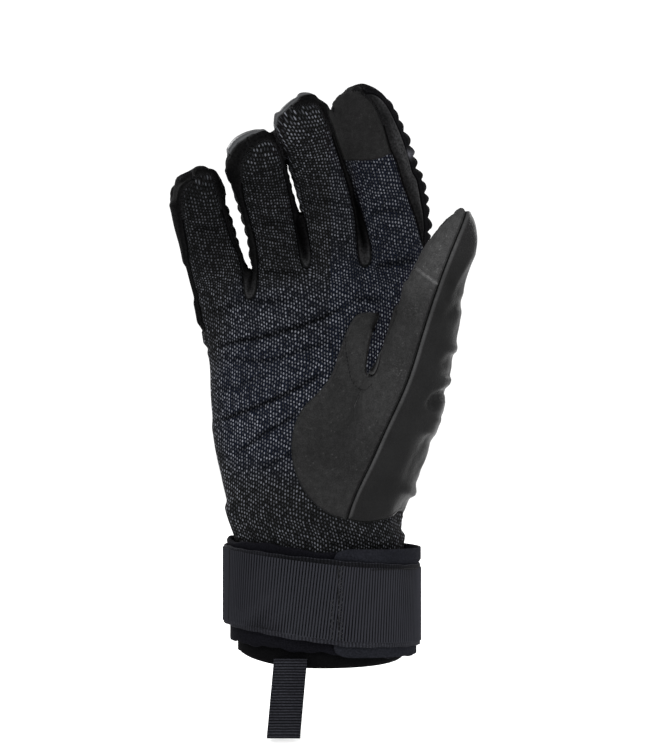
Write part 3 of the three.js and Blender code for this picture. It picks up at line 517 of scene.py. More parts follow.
def joined(one, two, reach):
    """The two solids together, with a soft fillet of that reach between them"""
    return np.minimum(one, two) - np.maximum(reach - np.abs(one - two), 0) ** 2 / (4 * np.maximum(reach, 1e-6))


def outwards(values, points):
    """Which way the skin faces at points"""
    step = np.eye(3) * VOXEL / 2
    return unit(np.stack([sampled(values, points + d) - sampled(values, points - d) for d in step], 1))


def sides(triangles):
    """The sides of triangles: the first of each, then the second and the third"""
    return np.vstack([triangles[:, [0, 1]], triangles[:, [1, 2]], triangles[:, [2, 0]]])


def relaxed(points, triangles, times):
    """Points drawn halfway to the middle of those beside them"""
    edges = sides(triangles)
    for _ in range(times):
        total = np.stack([np.bincount(edges[:, 0], points[edges[:, 1], k], len(points))
                          + np.bincount(edges[:, 1], points[edges[:, 0], k], len(points)) for k in range(3)], 1)
        count = np.bincount(edges.ravel(), minlength=len(points))
        points = mix(points, total / np.maximum(count, 1)[:, None], 0.5)
    return points


def local_places(line, points):
    """Places beside a line: along it, across and in front of it, and its half width and depth there"""
    nearest = np.zeros(len(points), int)
    best = np.full(len(points), 1e12)
    for n, centre in enumerate(line["centre"]):
        away = ((points - centre) ** 2).sum(1)
        nearest = np.where(away < best, n, nearest)
        best = np.minimum(away, best)
    offset = points - line["centre"][nearest]
    ahead = (offset * line["ahead"][nearest]).sum(1)
    return {
        "along": line["along"][nearest] + ahead,
        "across": (offset * line["side"][nearest]).sum(1),
        "forward": (offset * line["front"][nearest]).sum(1),
        "half_width": line["half_width"][nearest],
        "half_depth": line["half_depth"][nearest],
    }


def finger_places(lines, points, owner):
    """Places beside each finger, and those beside a point's own finger with its webs, length and width"""
    places = [local_places(line, points) for line in lines]
    own = {key: np.choose(owner, [place[key] for place in places]) for key in places[0]}
    for key in ("webs", "length", "width"):
        own[key] = np.array([line[key] for line in lines])[owner]
    return places, own


class Skin:
    """Triangles with values at their corners, which can be cut along a line where a value is zero"""

    def __init__(self, points, triangles):
        self.points, self.triangles, self.values = points, triangles, {}
        self.panel = np.zeros(len(triangles), int)

    def cut(self, name, panels):
        """Splits the triangles of the panels along the zero line of a value"""
        value = self.values[name].copy()
        value[np.abs(value) < 1e-6] = 1e-6
        above = value[self.triangles] > 0
        mixed = np.isin(self.panel, panels) & (above.any(1) != above.all(1))
        edges = np.sort(sides(self.triangles[mixed]), axis=1)
        edges = np.unique(edges[(value[edges[:, 0]] > 0) != (value[edges[:, 1]] > 0)], axis=0)
        if not len(edges):
            return
        a, b = edges.T
        share = np.clip(value[a] / (value[a] - value[b]), 0.02, 0.98)
        number = {tuple(edge): len(self.points) + n for n, edge in enumerate(edges.tolist())}
        self.points = np.vstack([self.points, mix(self.points[a], self.points[b], share[:, None])])
        for key, old in self.values.items():
            part = share[:, None] if old.ndim > 1 else share
            self.values[key] = np.concatenate([old, mix(old[a], old[b], part)])
        self.values[name][-len(edges):] = 0
        # every triangle beside a split edge is split with it, so that no gap opens
        made, labels, gone = [], [], np.zeros(len(self.triangles), bool)
        touched = np.zeros(len(self.points), bool)
        touched[edges.ravel()] = True
        near = np.nonzero(touched[self.triangles].sum(1) >= 2)[0]
        for n in near.tolist():
            corners = self.triangles[n].tolist()
            mids = [number.get((min(p, q), max(p, q))) for p, q in zip(corners, corners[1:] + corners[:1])]
            count = 3 - mids.count(None)
            if not count:
                continue
            while (count == 1 and mids[0] is None) or (count == 2 and mids[0] is not None and mids[1] is None) \
                    or (count == 2 and mids[0] is None):
                corners, mids = corners[1:] + corners[:1], mids[1:] + mids[:1]
                if count == 2 and mids[2] is None:
                    break
            p, q, r = corners
            if count == 1:
                made += [(p, mids[0], r), (mids[0], q, r)]
            else:
                made += [(mids[0], q, mids[1]), (p, mids[0], mids[1]), (p, mids[1], r)]
            labels += [self.panel[n]] * (count + 1)
            gone[n] = True
        self.triangles = np.vstack([self.triangles[~gone], np.array(made)])
        self.panel = np.r_[self.panel[~gone], labels]

    def middle(self, name):
        """A value in the middle of each triangle"""
        return self.values[name][self.triangles].mean(1)

    def split(self, name, panel, becomes):
        """Cuts a panel and gives what lies above zero to another one"""
        self.cut(name, [panel])
        self.panel[(self.panel == panel) & (self.middle(name) > 0)] = becomes

    def owners(self):
        """The finger that each triangle lies nearest to"""
        return np.rint(np.median(self.values["owner"][self.triangles], axis=1)).astype(int)


PANELS = ["back_panel", "palm_panel", "index_tip_patch", "thumb_palm_panel", "thumb_tip_panel", "thumb_back_panel",
          "little_tip_cap", "ring_tip_cap", "middle_tip_cap", "index_tip_cap", "little_side",
          "fourchette_little_ring", "fourchette_ring_middle", "fourchette_middle_index", "index_side"]
BACK, KNIT, PATCH, SUEDE, SUEDE_TIP, LEATHER = range(6)
FIRST_CAP, FIRST_STRIP = 6, 10
# Where the grey print over each fingertip ends: how far in front, and how much further on the left
CAP_FRONTS = {"little": (-8.5, 1.0), "ring": (-2.8, 3.0), "middle": (-2.6, 1.0), "index": (-7.0, 1.5)}
# Upper border of the back of the hand: across and up as shares of the palm's width and height
WEB_LINE = [
    (-0.7, 0.8), (-0.515, 0.812), (-0.49, 0.905), (-0.4, 0.94), (-0.315, 0.905), (-0.18, 0.99), (-0.1, 1.01),
    (-0.062, 1.0), (-0.02, 1.01), (0.09, 1.03), (0.185, 1.01), (0.33, 1.06), (0.42, 1.04), (0.5, 0.86), (0.7, 0.8),
]
# Further from a border than any panel reaches, in millimetres
FAR = 9


def arc(angle, half_width, half_depth):
    """Length round an oval from its front middle, positive on the thumb side"""
    steps = 10
    total = 0
    for n in range(steps):
        place = angle + (math.pi / 2 - angle) * (n + 0.5) / steps
        total = total + np.hypot(half_width * np.sin(place), half_depth * np.cos(place))
    return total * (math.pi / 2 - angle) / steps


# Where the cloth of a finger is taken as flat, in millimetres below its end
FLAT_FROM, FLAT_WHOLLY, FLAT_FRAME = 14, 8, 13


def cloth_places(s, points, lines, places):
    """Where each point lies on the flat cloth, in millimetres: columns follow the fingers"""

    def palm_at(height):
        return palm_line(s, np.clip((height - s.cuff_height) / s.palm_height, PALM_ROWS[0][0], PALM_ROWS[-1][0]))

    def palm_across(x, forward, row):
        beside = (x - row["centre"][:, 0]) / row["half_width"]
        round_palm = arc(np.arctan2(forward / row["half_depth"], beside), row["half_width"], row["half_depth"])
        straight = row["half_width"] * (beside + 0.16 * np.clip(beside, -1, 1) ** 3)
        return mix(round_palm, straight, smooth(forward, -1, 0.5))

    palm = palm_at(points[:, 2])
    across = palm_across(points[:, 0], palm["centre"][:, 1] - points[:, 1], palm)
    total, finger_u, finger_v, share = 1e-9, 0, 0, 0
    for line, place in zip(lines, places):
        # palm and finger columns meet on the front of the finger at its web
        web = np.searchsorted(line["along"], line["webs"])
        root = line["centre"][web:web + 1]
        row = palm_at(root[:, 2])
        start = palm_across(root[:, 0], row["centre"][:, 1] - root[:, 1] + line["half_depth"][web], row)
        half_depth = np.maximum(place["half_depth"], 5)
        half_width = np.maximum(place["half_width"], 6)
        angle = np.arctan2(place["forward"] / half_depth, place["across"] / half_width)
        full = line["width"] / 2
        share_across = place["across"] / full
        inside = np.clip(share_across, -1, 1)
        past = place["along"] - line["length"]
        round_front = 1 - smooth(past, -36, -12)
        before = full * (share_across + round_front * inside * (0.25 * inside ** 2 + 0.3 * inside ** 6))
        beside = mix(arc(angle, half_width, half_depth), before, smooth(place["forward"], -1, 0.5))
        # near its end the cloth is taken as flat, from a place on the finger's line a little below it
        low = np.searchsorted(line["along"], line["length"] - FLAT_FRAME)
        offset = points - line["centre"][low]
        tip = smooth(past, -FLAT_FROM, -FLAT_WHOLLY)
        up_finger = mix(place["along"], line["along"][low] + offset @ line["ahead"][low], tip)
        weight = hump(place["across"], 6) + 1e-9
        finger_u = finger_u + weight * (start + mix(beside, offset @ line["side"][low], tip))
        finger_v = finger_v + weight * (root[:, 2] - line["along"][web] + up_finger)
        share = share + weight * smooth(place["along"], line["webs"] - 5, line["webs"] + 5)
        total = total + weight
    share = share / total
    return np.stack([mix(across, finger_u / total, share), mix(points[:, 2], finger_v / total, share)], 1)


def gap_rings(rows):
    """Rings of a gap, straight away from the viewer"""
    corners = 64
    across, away = oval(np.arange(corners) * 2 * math.pi / corners, GAP_POWER)
    numbered = [(n, *row) for n, row in enumerate(rows)]
    _, px, py, half = along_table(numbered, np.linspace(0, len(rows) - 1, 30)).T[..., None]
    y = -6 + 34 * away
    step = VIEW_STEP * (VIEW_FAR + y) / VIEW_FAR
    x = VIEW_X + (px + half * across - VIEW_MIDDLE[0]) * step
    return np.stack([x, np.broadcast_to(y, x.shape), VIEW_Z - (py - VIEW_MIDDLE[1]) * step], -1)


def line_depth(x, y, marks, beside=0.3, wider=1.0):
    """How deep marks are at places of the front view; beside a mark the skin goes a share the other way.
    Where wider is over 1, so is each mark"""
    total = np.zeros(len(x))
    for depth, width, corners in marks:
        distance, _, share = line_distance(x, y, rounded(corners, False))
        distance = distance * VIEW_STEP / wider
        ends = smooth(share, 0, 0.18) * smooth(1 - share, 0, 0.18)
        total += depth * ends * (hump(distance, width) - beside * hump(distance, 2.4 * width))
    return total


def joined_hand(palm, fingers, thumb):
    """The hand as one solid: fingers and thumb joined softly to the palm, and the gaps cut out"""
    between = fingers[0]
    for other in fingers[1:]:
        between = joined(between, other, FINGER_FILLET)
    hand = joined(palm, between, PALM_FILLET)
    for rows in GAPS:
        hand = -joined(-hand, volume(gap_rings(rows)), GAP_FILLET)
    heights = (np.arange(SHAPE[2]) + ORIGIN[2]) * VOXEL
    reach = mix(*THUMB_FILLETS, smooth(heights, *THUMB_FREE)).astype(np.float32)
    return joined(hand, thumb, reach[None, None, :]).astype(np.float32)


def skin_over(whole):
    """Points and triangles of the skin over a solid, which face outwards"""
    grid = openvdb.FloatGrid()
    grid.copyFromArray(whole, ijk=tuple(int(v) for v in ORIGIN))
    grid.transform = openvdb.createLinearTransform(VOXEL)
    points, quads = grid.convertToQuads(0)
    points = points.astype(float)
    quads = quads.astype(int)[:, ::-1]
    triangles = np.vstack([quads[:, [0, 1, 2]], quads[:, [0, 2, 3]]])
    a, b, c = (points[triangles[:, k]] for k in range(3))
    if (np.cross(b - a, c - a) * outwards(whole, points[triangles].mean(1))).sum() < 0:
        triangles = triangles[:, ::-1]
    points = relaxed(points, triangles, 2)
    for _ in range(2):
        points -= sampled(whole, points)[:, None] * outwards(whole, points)
    return points, triangles


@functools.lru_cache(maxsize=1)
def hand_skin(size_key):
    """The skin of the hand as one surface, cut into its sewn panels; made once for each set of sizes"""
    s = Sizes(bpy.context.scene)
    lines = [finger_line(s, finger) for finger in FINGERS]
    thumb = thumb_line(s)
    palm_volume = volume(palm_rings(s))
    finger_volumes = [volume(oval_rings(line, FINGER_POWER)) for line in lines]
    thumb_volume = volume(oval_rings(thumb, THUMB_POWER))
    whole = joined_hand(palm_volume, finger_volumes, thumb_volume)
    skin = Skin(*skin_over(whole))
    skin.values["hem"] = skin.points[:, 2] - s.cuff_height
    skin.cut("hem", [BACK])
    keep = skin.middle("hem") > 0
    skin.triangles, skin.panel = skin.triangles[keep], skin.panel[keep]
    points = skin.points
    x, y, z = points.T
    px, py = seen(points)

    near = np.stack([sampled(values, points) for values in finger_volumes], 1)
    palm_near = sampled(palm_volume, points)
    owner = near.argmin(1)
    _, own = finger_places(lines, points, owner)
    on_index = owner == INDEX
    across, past = own["across"], own["along"] - own["length"]
    on_finger = smooth(own["along"], 0.2 * own["webs"], own["webs"]) * smooth(palm_near, -3, 3)

    # each value is positive, in millimetres, on the side of its border that its panel lies on
    front = mix(4 - y, own["forward"] - 0.5, on_finger)
    front = front + 5 * on_index * smooth(past, -11, -5) * smooth(-across, -4, 0)
    knit = area_distance(px, py, rounded(KNIT_EDGE, True)) * VIEW_STEP
    skin.values["knit"] = np.minimum(knit, front)
    crease = np.minimum(palm_near, near.min(1)) - sampled(thumb_volume, points)
    leaf = np.minimum(area_distance(px, py, rounded(THUMB_EDGE, True)) * VIEW_STEP, 4 - y)
    leaf = np.minimum(leaf, crease + mix(60, 4, smooth(px, 392, 402) * smooth(z, 112, 130)))
    low_part = 1 - smooth(z, 138, 146)
    skin.values["thumb"] = mix(crease, np.where(y < 2, leaf, np.maximum(np.minimum(leaf, 8), crease)), low_part)
    seam, side, _ = line_distance(px, py, rounded(THUMB_SEAM, False))
    away = (outwards(whole, points)[:, 1] + 0.15) * 12
    behind = np.minimum(np.minimum(-local_places(thumb, points)["forward"] - 2.5, away), crease + 2.5)
    skin.values["leather"] = np.maximum(seam * side * VIEW_STEP, np.where(z > 95, behind, -FAR))
    cross, side, _ = line_distance(px, py, rounded(CROSS_SEAM, False))
    skin.values["cross"] = -cross * side * VIEW_STEP
    patch, side, _ = line_distance(px, py, rounded(TIP_PATCH_LINE, False))
    skin.values["patch"] = np.where(px > VIEW_MIDDLE[0], -patch * side * VIEW_STEP, -FAR)
    ribbon = 0.78 * own["half_width"] - np.abs(across)
    ribbon = np.where(on_index & (across > 0), np.maximum(ribbon, 5 - own["forward"]), ribbon)
    ribbon = np.minimum(ribbon, -past - 1.5)
    web_line = s.cuff_height - 1.2 + s.palm_height * np.interp(x / s.palm_width, *np.transpose(WEB_LINE))
    behind = np.where(on_index & (across > 6), np.maximum(-front - 0.4, 5 - own["forward"]), -front - 0.4)
    skin.values["back"] = np.minimum(np.maximum(ribbon, web_line - z), behind)
    level, lean = np.array([CAP_FRONTS[line["name"]] for line in lines])[owner].T
    skin.values["cap"] = np.minimum(np.minimum(past + 16, 0.86 * own["width"] / 2 - np.abs(across)),
                                    level - lean * across / own["width"] * 2 - own["forward"])
    skin.values["halves"] = across
    skin.values["owner"] = owner.astype(float)
    skin.values["past"] = past

    for name, panel, becomes in (("thumb", BACK, SUEDE), ("leather", SUEDE, LEATHER), ("cross", SUEDE, SUEDE_TIP),
                                 ("knit", BACK, KNIT), ("patch", KNIT, PATCH)):
        skin.split(name, panel, becomes)
    skin.cut("cap", [BACK])
    caps = (skin.panel == BACK) & (skin.middle("cap") > 0)
    skin.panel[caps] = FIRST_CAP + skin.owners()[caps]
    skin.cut("back", [BACK])
    rest = (skin.panel == BACK) & (skin.middle("back") <= 0)
    skin.panel[rest] = FIRST_STRIP + skin.owners()[rest]
    skin.cut("halves", list(range(FIRST_STRIP, FIRST_STRIP + 4)))
    rest = skin.panel >= FIRST_STRIP
    skin.panel[rest] = FIRST_STRIP + skin.owners()[rest] + (skin.middle("halves")[rest] > 0)
    tidy_islands(skin)
    shape_surface(s, skin, whole, lines)
    return skin


def tidy_islands(skin):
    """Gives scraps of a panel that lie apart from it to the panel around them"""
    edges = np.sort(sides(skin.triangles), axis=1)
    key = edges[:, 0] * len(skin.points) + edges[:, 1]
    order = np.argsort(key, kind="stable")
    same = key[order][1:] == key[order][:-1]
    one, two = (order[:-1][same] % len(skin.triangles), order[1:][same] % len(skin.triangles))
    for _ in range(4):
        inside = skin.panel[one] == skin.panel[two]
        island = np.arange(len(skin.triangles))
        while True:
            low = np.minimum(island[one[inside]], island[two[inside]])
            new = island.copy()
            np.minimum.at(new, one[inside], low)
            np.minimum.at(new, two[inside], low)
            new = new[new]
            if (new == island).all():
                break
            island = new
        sizes = np.bincount(island, minlength=len(island))
        best = {p: island[skin.panel == p][sizes[island[skin.panel == p]].argmax()]
                for p in np.unique(skin.panel).tolist()}
        scrap = np.array([island[n] != best[p] for n, p in enumerate(skin.panel.tolist())])
        if not scrap.any():
            return
        border = ~inside
        changed = skin.panel.copy()
        for here, there in ((one[border], two[border]), (two[border], one[border])):
            take = scrap[here] & ~scrap[there]
            votes = {}
            for i, p in zip(island[here[take]].tolist(), skin.panel[there[take]].tolist()):
                votes.setdefault(i, []).append(p)
            for i, panels in votes.items():
                changed[island == i] = max(set(panels), key=panels.count)
        skin.panel = changed


def seam_distances(skin):
    """Distance of each point to the nearest seam, and the kinds of panels that meet there"""
    edges = np.sort(sides(skin.triangles), axis=1)
    panel = np.tile(skin.panel, 3)
    order = np.lexsort((edges[:, 1], edges[:, 0]))
    edges, panel = edges[order], panel[order]
    pair = (edges[1:] == edges[:-1]).all(1) & (panel[1:] != panel[:-1])
    one, two = edges[1:][pair].T
    kinds = np.stack([panel[:-1][pair], panel[1:][pair]], 1)
    spots = 4
    tree = kdtree.KDTree(len(one) * spots)
    for n, (p, q) in enumerate(zip(skin.points[one].tolist(), skin.points[two].tolist())):
        start, end = Vector(p), Vector(q)
        for k in range(spots):
            tree.insert(start.lerp(end, k / spots), n)
    tree.balance()
    skin.borders = np.stack([one, two], 1), kinds
    found = [tree.find(p)[1:] for p in skin.points.tolist()]
    nearest = np.array([n for n, _ in found])
    return np.array([d for _, d in found]), kinds[nearest]


def shape_surface(s, skin, whole, lines):
    """Folds, flex ribs, seams and unevenness of the cloth, and the values that its tones follow"""
    points = skin.points
    x, _, z = points.T
    normal = outwards(whole, points)
    px, py = seen(points)
    owner = np.clip(np.rint(skin.values["owner"]), 0, INDEX).astype(int)
    on_index = owner == INDEX
    places, own = finger_places(lines, points, owner)
    webs = own["webs"]
    skin.values["cloth"] = cloth_places(s, points, lines, places)
    distance, kinds = seam_distances(skin)
    facing = smooth(-normal[:, 1], -0.45, 0.05)
    folds = (line_depth(px, py, FOLDS) + line_depth(px, py, PLEATS, 0)) * facing
    move = (line_depth(px, py, RIDGES) - line_depth(px, py, PRESSES, 0)) * facing - folds
    in_leather = (skin.values["thumb"] > 0) * smooth(skin.values["leather"], 0.5, 3)
    move += in_leather * (0.16 * unevenness(points * [1, 1, 0.45], 3.2, 31) + 0.14 * unevenness(points, 6, 32))
    # flex ribs over the finger backs and the outer side of the index finger
    past = own["along"] - own["length"]
    ribbed = smooth(own["along"], webs + 2, webs + 10) * (1 - smooth(past, -15, -9))
    backwards = np.where(on_index, smooth(-own["forward"], -5, 0), smooth(-own["forward"], 1.5, 6))
    backwards = backwards * (skin.values["thumb"] < 0)
    uneven = own["along"] + 1.6 * unevenness(points, 8, 21)
    rib = np.abs(np.sin(math.pi * uneven / s.flex_pitch))
    outer = 1 + on_index * smooth(own["across"], 4, 10) * (0.7 + 0.9 * unevenness(points, 7, 22))
    move += 1.3 * s.flex_height * outer * (rib ** 0.7 - 0.35) * ribbed * backwards
    # seams pull the cloth in; the suede lies over the knit
    over = np.isin(kinds, [SUEDE, PATCH, LEATHER]).any(1) & (kinds == KNIT).any(1)
    rolled = np.isin(kinds, [SUEDE, SUEDE_TIP, LEATHER]).all(1)
    hidden = (kinds >= FIRST_STRIP).all(1)
    depth = np.where(over, 0.1, np.where(rolled, 0.35, np.where(hidden, 0, 0.75)))
    move -= depth * hump(distance, 1.1)
    move += np.where(over, 0, 0.25) * hump(distance - np.where(rolled, 1.5, 2.2), 1.0)
    turned = rolled & (kinds == LEATHER).any(1)
    move += 0.3 * turned * (skin.values["leather"] > 0) * hump(distance - 1.1, 0.8)
    move += 0.22 * unevenness(points, 9, 3) + 0.10 * unevenness(points, 3.5, 5)
    above_cuff = smooth((z - s.cuff_height) / s.palm_height + 0.04, 0, 0.12)
    skin.normal = normal
    skin.points = points + normal * (move * above_cuff)[:, None]
    skin.values["seam"] = distance
    skin.values["sewn"] = np.where(over, 0.12, np.where(rolled, 0.35, np.where(hidden, 0, 0.8)))
    skin.values["lit"] = (rolled & ~turned).astype(float)
    skin.values["turned"] = turned.astype(float)
    # painted shade along the folds: the materials darken their colour by this
    skin.values["fold"] = np.clip(1.15 * line_depth(px, py, FOLDS, 0, 0.9) * facing, 0, 1)
    # the knit's dots are dimmer on the fingers, partly from wear and partly painted shade where they curl forward,
    # and dimmer low on the palm, on its little finger side and high on its left
    dots = 1 - smooth(own["along"], webs - 12, webs + 16) * np.choose(owner, [0.5, 0.5, 0.3, 0.16])
    dots *= (1 - 0.5 * (1 - smooth(z, 56, 98))) * (1 - 0.32 * smooth(-x, 32, 44))
    dots *= 1 - 0.24 * smooth(z, 110, 132) * (px < 330)
    in_thumb = skin.values["thumb"] > 0
    nap = mix(0.95, 1.15, smooth(z, 85, 120)) + 0.95 * smooth(z, 136, 150)
    nap *= 1 + 0.2 * hump(np.hypot(px - 375, py - 395), 45) + 0.4 * hump(np.hypot((px - 360) / 0.5, py - 342), 32)
    skin.values["tone"] = np.where(in_thumb, nap, dots)
    skin.values["print"] = hump(np.hypot((px - 408) / 0.9, py - 155), 4) * on_index * (own["forward"] > -3)
    # painted light: the back is brightened where it faces backwards
    skin.values["away"] = smooth(normal[:, 1], 0.15, 0.75)
    # painted shade in the grooves between the flex ribs of the back
    skin.values["ribs"] = 1 - 0.6 * ribbed * backwards * (1 - rib ** 0.7)
    skin.values["worn"] = (hump(np.hypot(px - 412, (py - 310) * 1.4), 9)
                           + hump(np.hypot(px - 400, (py - 370) / 1.6), 7))
    # strips: lighter at their lower ends, with painted shade in a pleat there, and a painted sheen towards the outer
    # side of the index finger
    ends = sum(hump(np.hypot(px - line[-1][0], (py - line[-1][1]) / 1.3), 11) for _, _, line in PLEATS)
    strip = (1 + 4.2 * ends) * (1 - 0.8 * np.clip(line_depth(px, py, PLEATS, 0, 1.1), 0, 1))
    sheen_share = smooth(-skin.values["knit"], 0.3, 3.4)
    outer = 1.6 + 7.5 * sheen_share ** 1.3 * (0.8 + 0.5 * unevenness(points, 5, 33))
    skin.values["strip"] = np.where(on_index & (own["across"] > 0), outer, strip)


def cloth_object(name, points, faces, cloth, values):
    """A mesh from points in millimetres, with their places on the flat cloth and their values"""
    mesh = bpy.data.meshes.new(name)
    mesh.from_pydata((np.asarray(points) * MM).tolist(), [], faces)
    for key, value in values.items():
        mesh.attributes.new(key, "FLOAT", "POINT").data.foreach_set("value", np.asarray(value, np.float32))
    corners = np.empty(len(mesh.loops), np.int32)
    mesh.loops.foreach_get("vertex_index", corners)
    layer = mesh.uv_layers.new(name="Cloth", do_init=False)
    layer.uv.foreach_set("vector", (np.asarray(cloth) * MM).astype(np.float32)[corners].ravel())
    mesh.polygons.foreach_set("use_smooth", np.ones(len(mesh.polygons), bool))
    mesh.validate()
    piece = bpy.data.objects.new(name, mesh)
    bpy.context.scene.collection.objects.link(piece)
    return piece


SHARP_ANGLE = math.radians(52)


def finish_piece(piece, look, node=None):
    """Gives a piece its finish and its body; the node is the one that it stands for"""
    if look is not None:
        piece.data.materials.append(finish(look))
    piece.data.set_sharp_from_angle(angle=SHARP_ANGLE)
    if node:
        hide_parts(node)
    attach(piece, ROOT)


def crease_rims(piece, rim, count):
    """Sharp edges round a panel, on its outside and its inside"""
    mesh = piece.data
    ends = np.empty(len(mesh.edges) * 2, np.int32)
    mesh.edges.foreach_get("vertices", ends)
    ends = np.sort(ends.reshape(-1, 2).astype(np.int64), axis=1)
    wanted = np.sort(np.vstack([rim, rim + count]), axis=1)
    sharp = np.zeros(len(ends), bool)
    mesh.edges.foreach_get("use_edge_sharp", sharp)
    sharp |= np.isin(ends @ (2 * count, 1), wanted @ (2 * count, 1))
    mesh.edges.foreach_set("use_edge_sharp", sharp)


# How much painted light brightens the back where it faces away, and how far a raised panel takes to rise from its
# seam
BACK_PAINTED_LIGHT = 4.5
RISE = (-0.1, 0.9)


def panel_piece(panel, look, raise_by=0.0, tone=None):
    """One sewn panel of the hand, with its wall"""
    s = Sizes(bpy.context.scene)
    skin = hand_skin(size_key())
    triangles = skin.triangles[skin.panel == panel]
    used, triangles = np.unique(triangles, return_inverse=True)
    triangles = triangles.reshape(-1, 3)
    normal = skin.normal[used]
    seam = skin.values["seam"][used]
    outer = skin.points[used] + normal * (raise_by * smooth(seam, *RISE))[:, None]
    inner = outer - normal * s.wall
    edges = sides(triangles)
    _, first, count = np.unique(np.sort(edges, axis=1), axis=0, return_index=True, return_counts=True)
    rim = edges[first[count == 1]]
    n = len(used)
    walls = np.vstack([np.stack([rim[:, 1], rim[:, 0], rim[:, 0] + n], 1),
                       np.stack([rim[:, 1], rim[:, 0] + n, rim[:, 1] + n], 1)])
    both = np.vstack([triangles, triangles[:, ::-1] + n, walls])
    values = {key: skin.values[key][used] for key in
              ("seam", "sewn", "lit", "turned", "fold", "tone", "print", "worn")}
    if tone is not None:
        values["tone"] = np.full(n, float(tone))
    if panel >= FIRST_STRIP:
        values["tone"] = skin.values["strip"][used]
    if panel == BACK:
        # the back is painted lighter where it faces away, and painted shade darkens the grooves between its flex ribs
        values["tone"] = (values["tone"] + BACK_PAINTED_LIGHT * skin.values["away"][used]) * skin.values["ribs"][used]
    else:
        values["print"] = np.zeros(n)
    piece = cloth_object(PANELS[panel] + "_cloth", np.vstack([outer, inner]), both.tolist(),
                         np.tile(skin.values["cloth"][used], (2, 1)),
                         {key: np.tile(value, 2) for key, value in values.items()})
    finish_piece(piece, look, PANELS[panel])
    crease_rims(piece, rim, n)


def size_key():
    sizes = bpy.context.scene.glove_sizes
    return tuple(round(getattr(sizes, name), 7) for name, _, _ in SIZES)


# Node trees: sockets join with Python's operators, and any node comes from one method
class Wire:
    """An output socket, which operators join into Math nodes"""

    def __init__(self, tree, socket):
        self.tree, self.socket = tree, socket

    def math(self, operation, *terms):
        return self.tree.node("ShaderNodeMath", {"operation": operation}, *terms)

    def __add__(self, other):
        return self.math("ADD", self, other)

    def __sub__(self, other):
        return self.math("SUBTRACT", self, other)

    def __rsub__(self, other):
        return self.math("SUBTRACT", other, self)

    def __mul__(self, other):
        return self.math("MULTIPLY", self, other)

    def __truediv__(self, other):
        return self.math("DIVIDE", self, other)

    def __pow__(self, other):
        return self.math("POWER", self, other)

    __radd__ = __add__
    __rmul__ = __mul__


class Tree:
    """A node tree under construction"""

    def __init__(self, nodes):
        self.nodes = nodes

    def node(self, kind, settings=None, *terms, out=0, **named):
        """A node with its settings; terms and named ones go into its inputs, and out is the output given back"""
        node = self.nodes.nodes.new(kind)
        for key, value in (settings or {}).items():
            setattr(node, key, value)
        for place, value in [*enumerate(terms), *((key.replace("_", " "), value) for key, value in named.items())]:
            if value is None:
                continue
            socket = node.inputs[place]
            if isinstance(value, Wire):
                self.nodes.links.new(value.socket, socket)
            else:
                socket.default_value = value
        self.last = node
        return Wire(self, node.outputs[out]) if len(node.outputs) else node

    def blend(self, share, low, high):
        """Colours mixed by a share"""
        node = self.nodes.nodes.new("ShaderNodeMix")
        node.data_type = "RGBA"
        for place, value in ((0, share), (6, low), (7, high)):
            if isinstance(value, Wire):
                self.nodes.links.new(value.socket, node.inputs[place])
            else:
                node.inputs[place].default_value = (*value, 1) if place > 5 else value
        return Wire(self, node.outputs[2])

    def ramp(self, value, low, high, bottom=0.0, top=1.0):
        """A value taken smoothly from bottom to top as it goes from low to high"""
        return self.node("ShaderNodeMapRange", {"interpolation_type": "SMOOTHSTEP"}, value, low, high, bottom, top)

    def noise(self, place, grain, detail=2.0, rough=0.5):
        """Noise with humps of that size, in metres"""
        return self.node("ShaderNodeTexNoise", {}, Vector=place, Scale=1 / grain, Detail=detail, Roughness=rough)

    def spot(self):
        """The place on the object"""
        return self.node("ShaderNodeTexCoord", {}, out=3)

    def second(self):
        """The second output of the newest node"""
        return Wire(self, self.last.outputs[1])

    def value(self, name):
        """A value that the points of the mesh carry"""
        return self.node("ShaderNodeAttribute", {"attribute_name": name}, out=2)

    def scaled(self, colour, factor):
        return self.node("ShaderNodeVectorMath", {"operation": "SCALE"}, colour, Scale=factor)


def material(name, **constants):
    """A new material, its tree and its main shader, whose constants are set on its sockets"""
    made = bpy.data.materials.new(name)
    made.use_nodes = True
    made.node_tree.nodes.clear()
    tree = Tree(made.node_tree)
    tree.shader = made.node_tree.nodes.new("ShaderNodeBsdfPrincipled")
    output = made.node_tree.nodes.new("ShaderNodeOutputMaterial")
    made.node_tree.links.new(tree.shader.outputs[0], output.inputs[0])
    for key, value in constants.items():
        tree.shader.inputs[key.replace("_", " ")].default_value = value
    return made, tree


def dress(tree, colour, roughness, height, strength, distance):
    """Joins colour, roughness and bump to the main shader"""
    for key, value in (("Base Color", colour), ("Roughness", roughness)):
        if isinstance(value, Wire):
            tree.nodes.links.new(value.socket, tree.shader.inputs[key])
        else:
            tree.shader.inputs[key].default_value = value
    bump = tree.node("ShaderNodeBump", {}, Strength=strength, Distance=distance, Height=height)
    tree.nodes.links.new(bump.socket, tree.shader.inputs["Normal"])


def seam_shade(tree):
    """How deep the groove of a seam is, and how high the welt beside it"""
    seam = tree.value("seam")
    groove = (1 - tree.ramp(seam, 0.05, 0.75)) * tree.value("sewn")
    welt = tree.ramp(seam, 0.25, 0.6) * (1 - tree.ramp(seam, 0.8, 1.7))
    return groove, welt


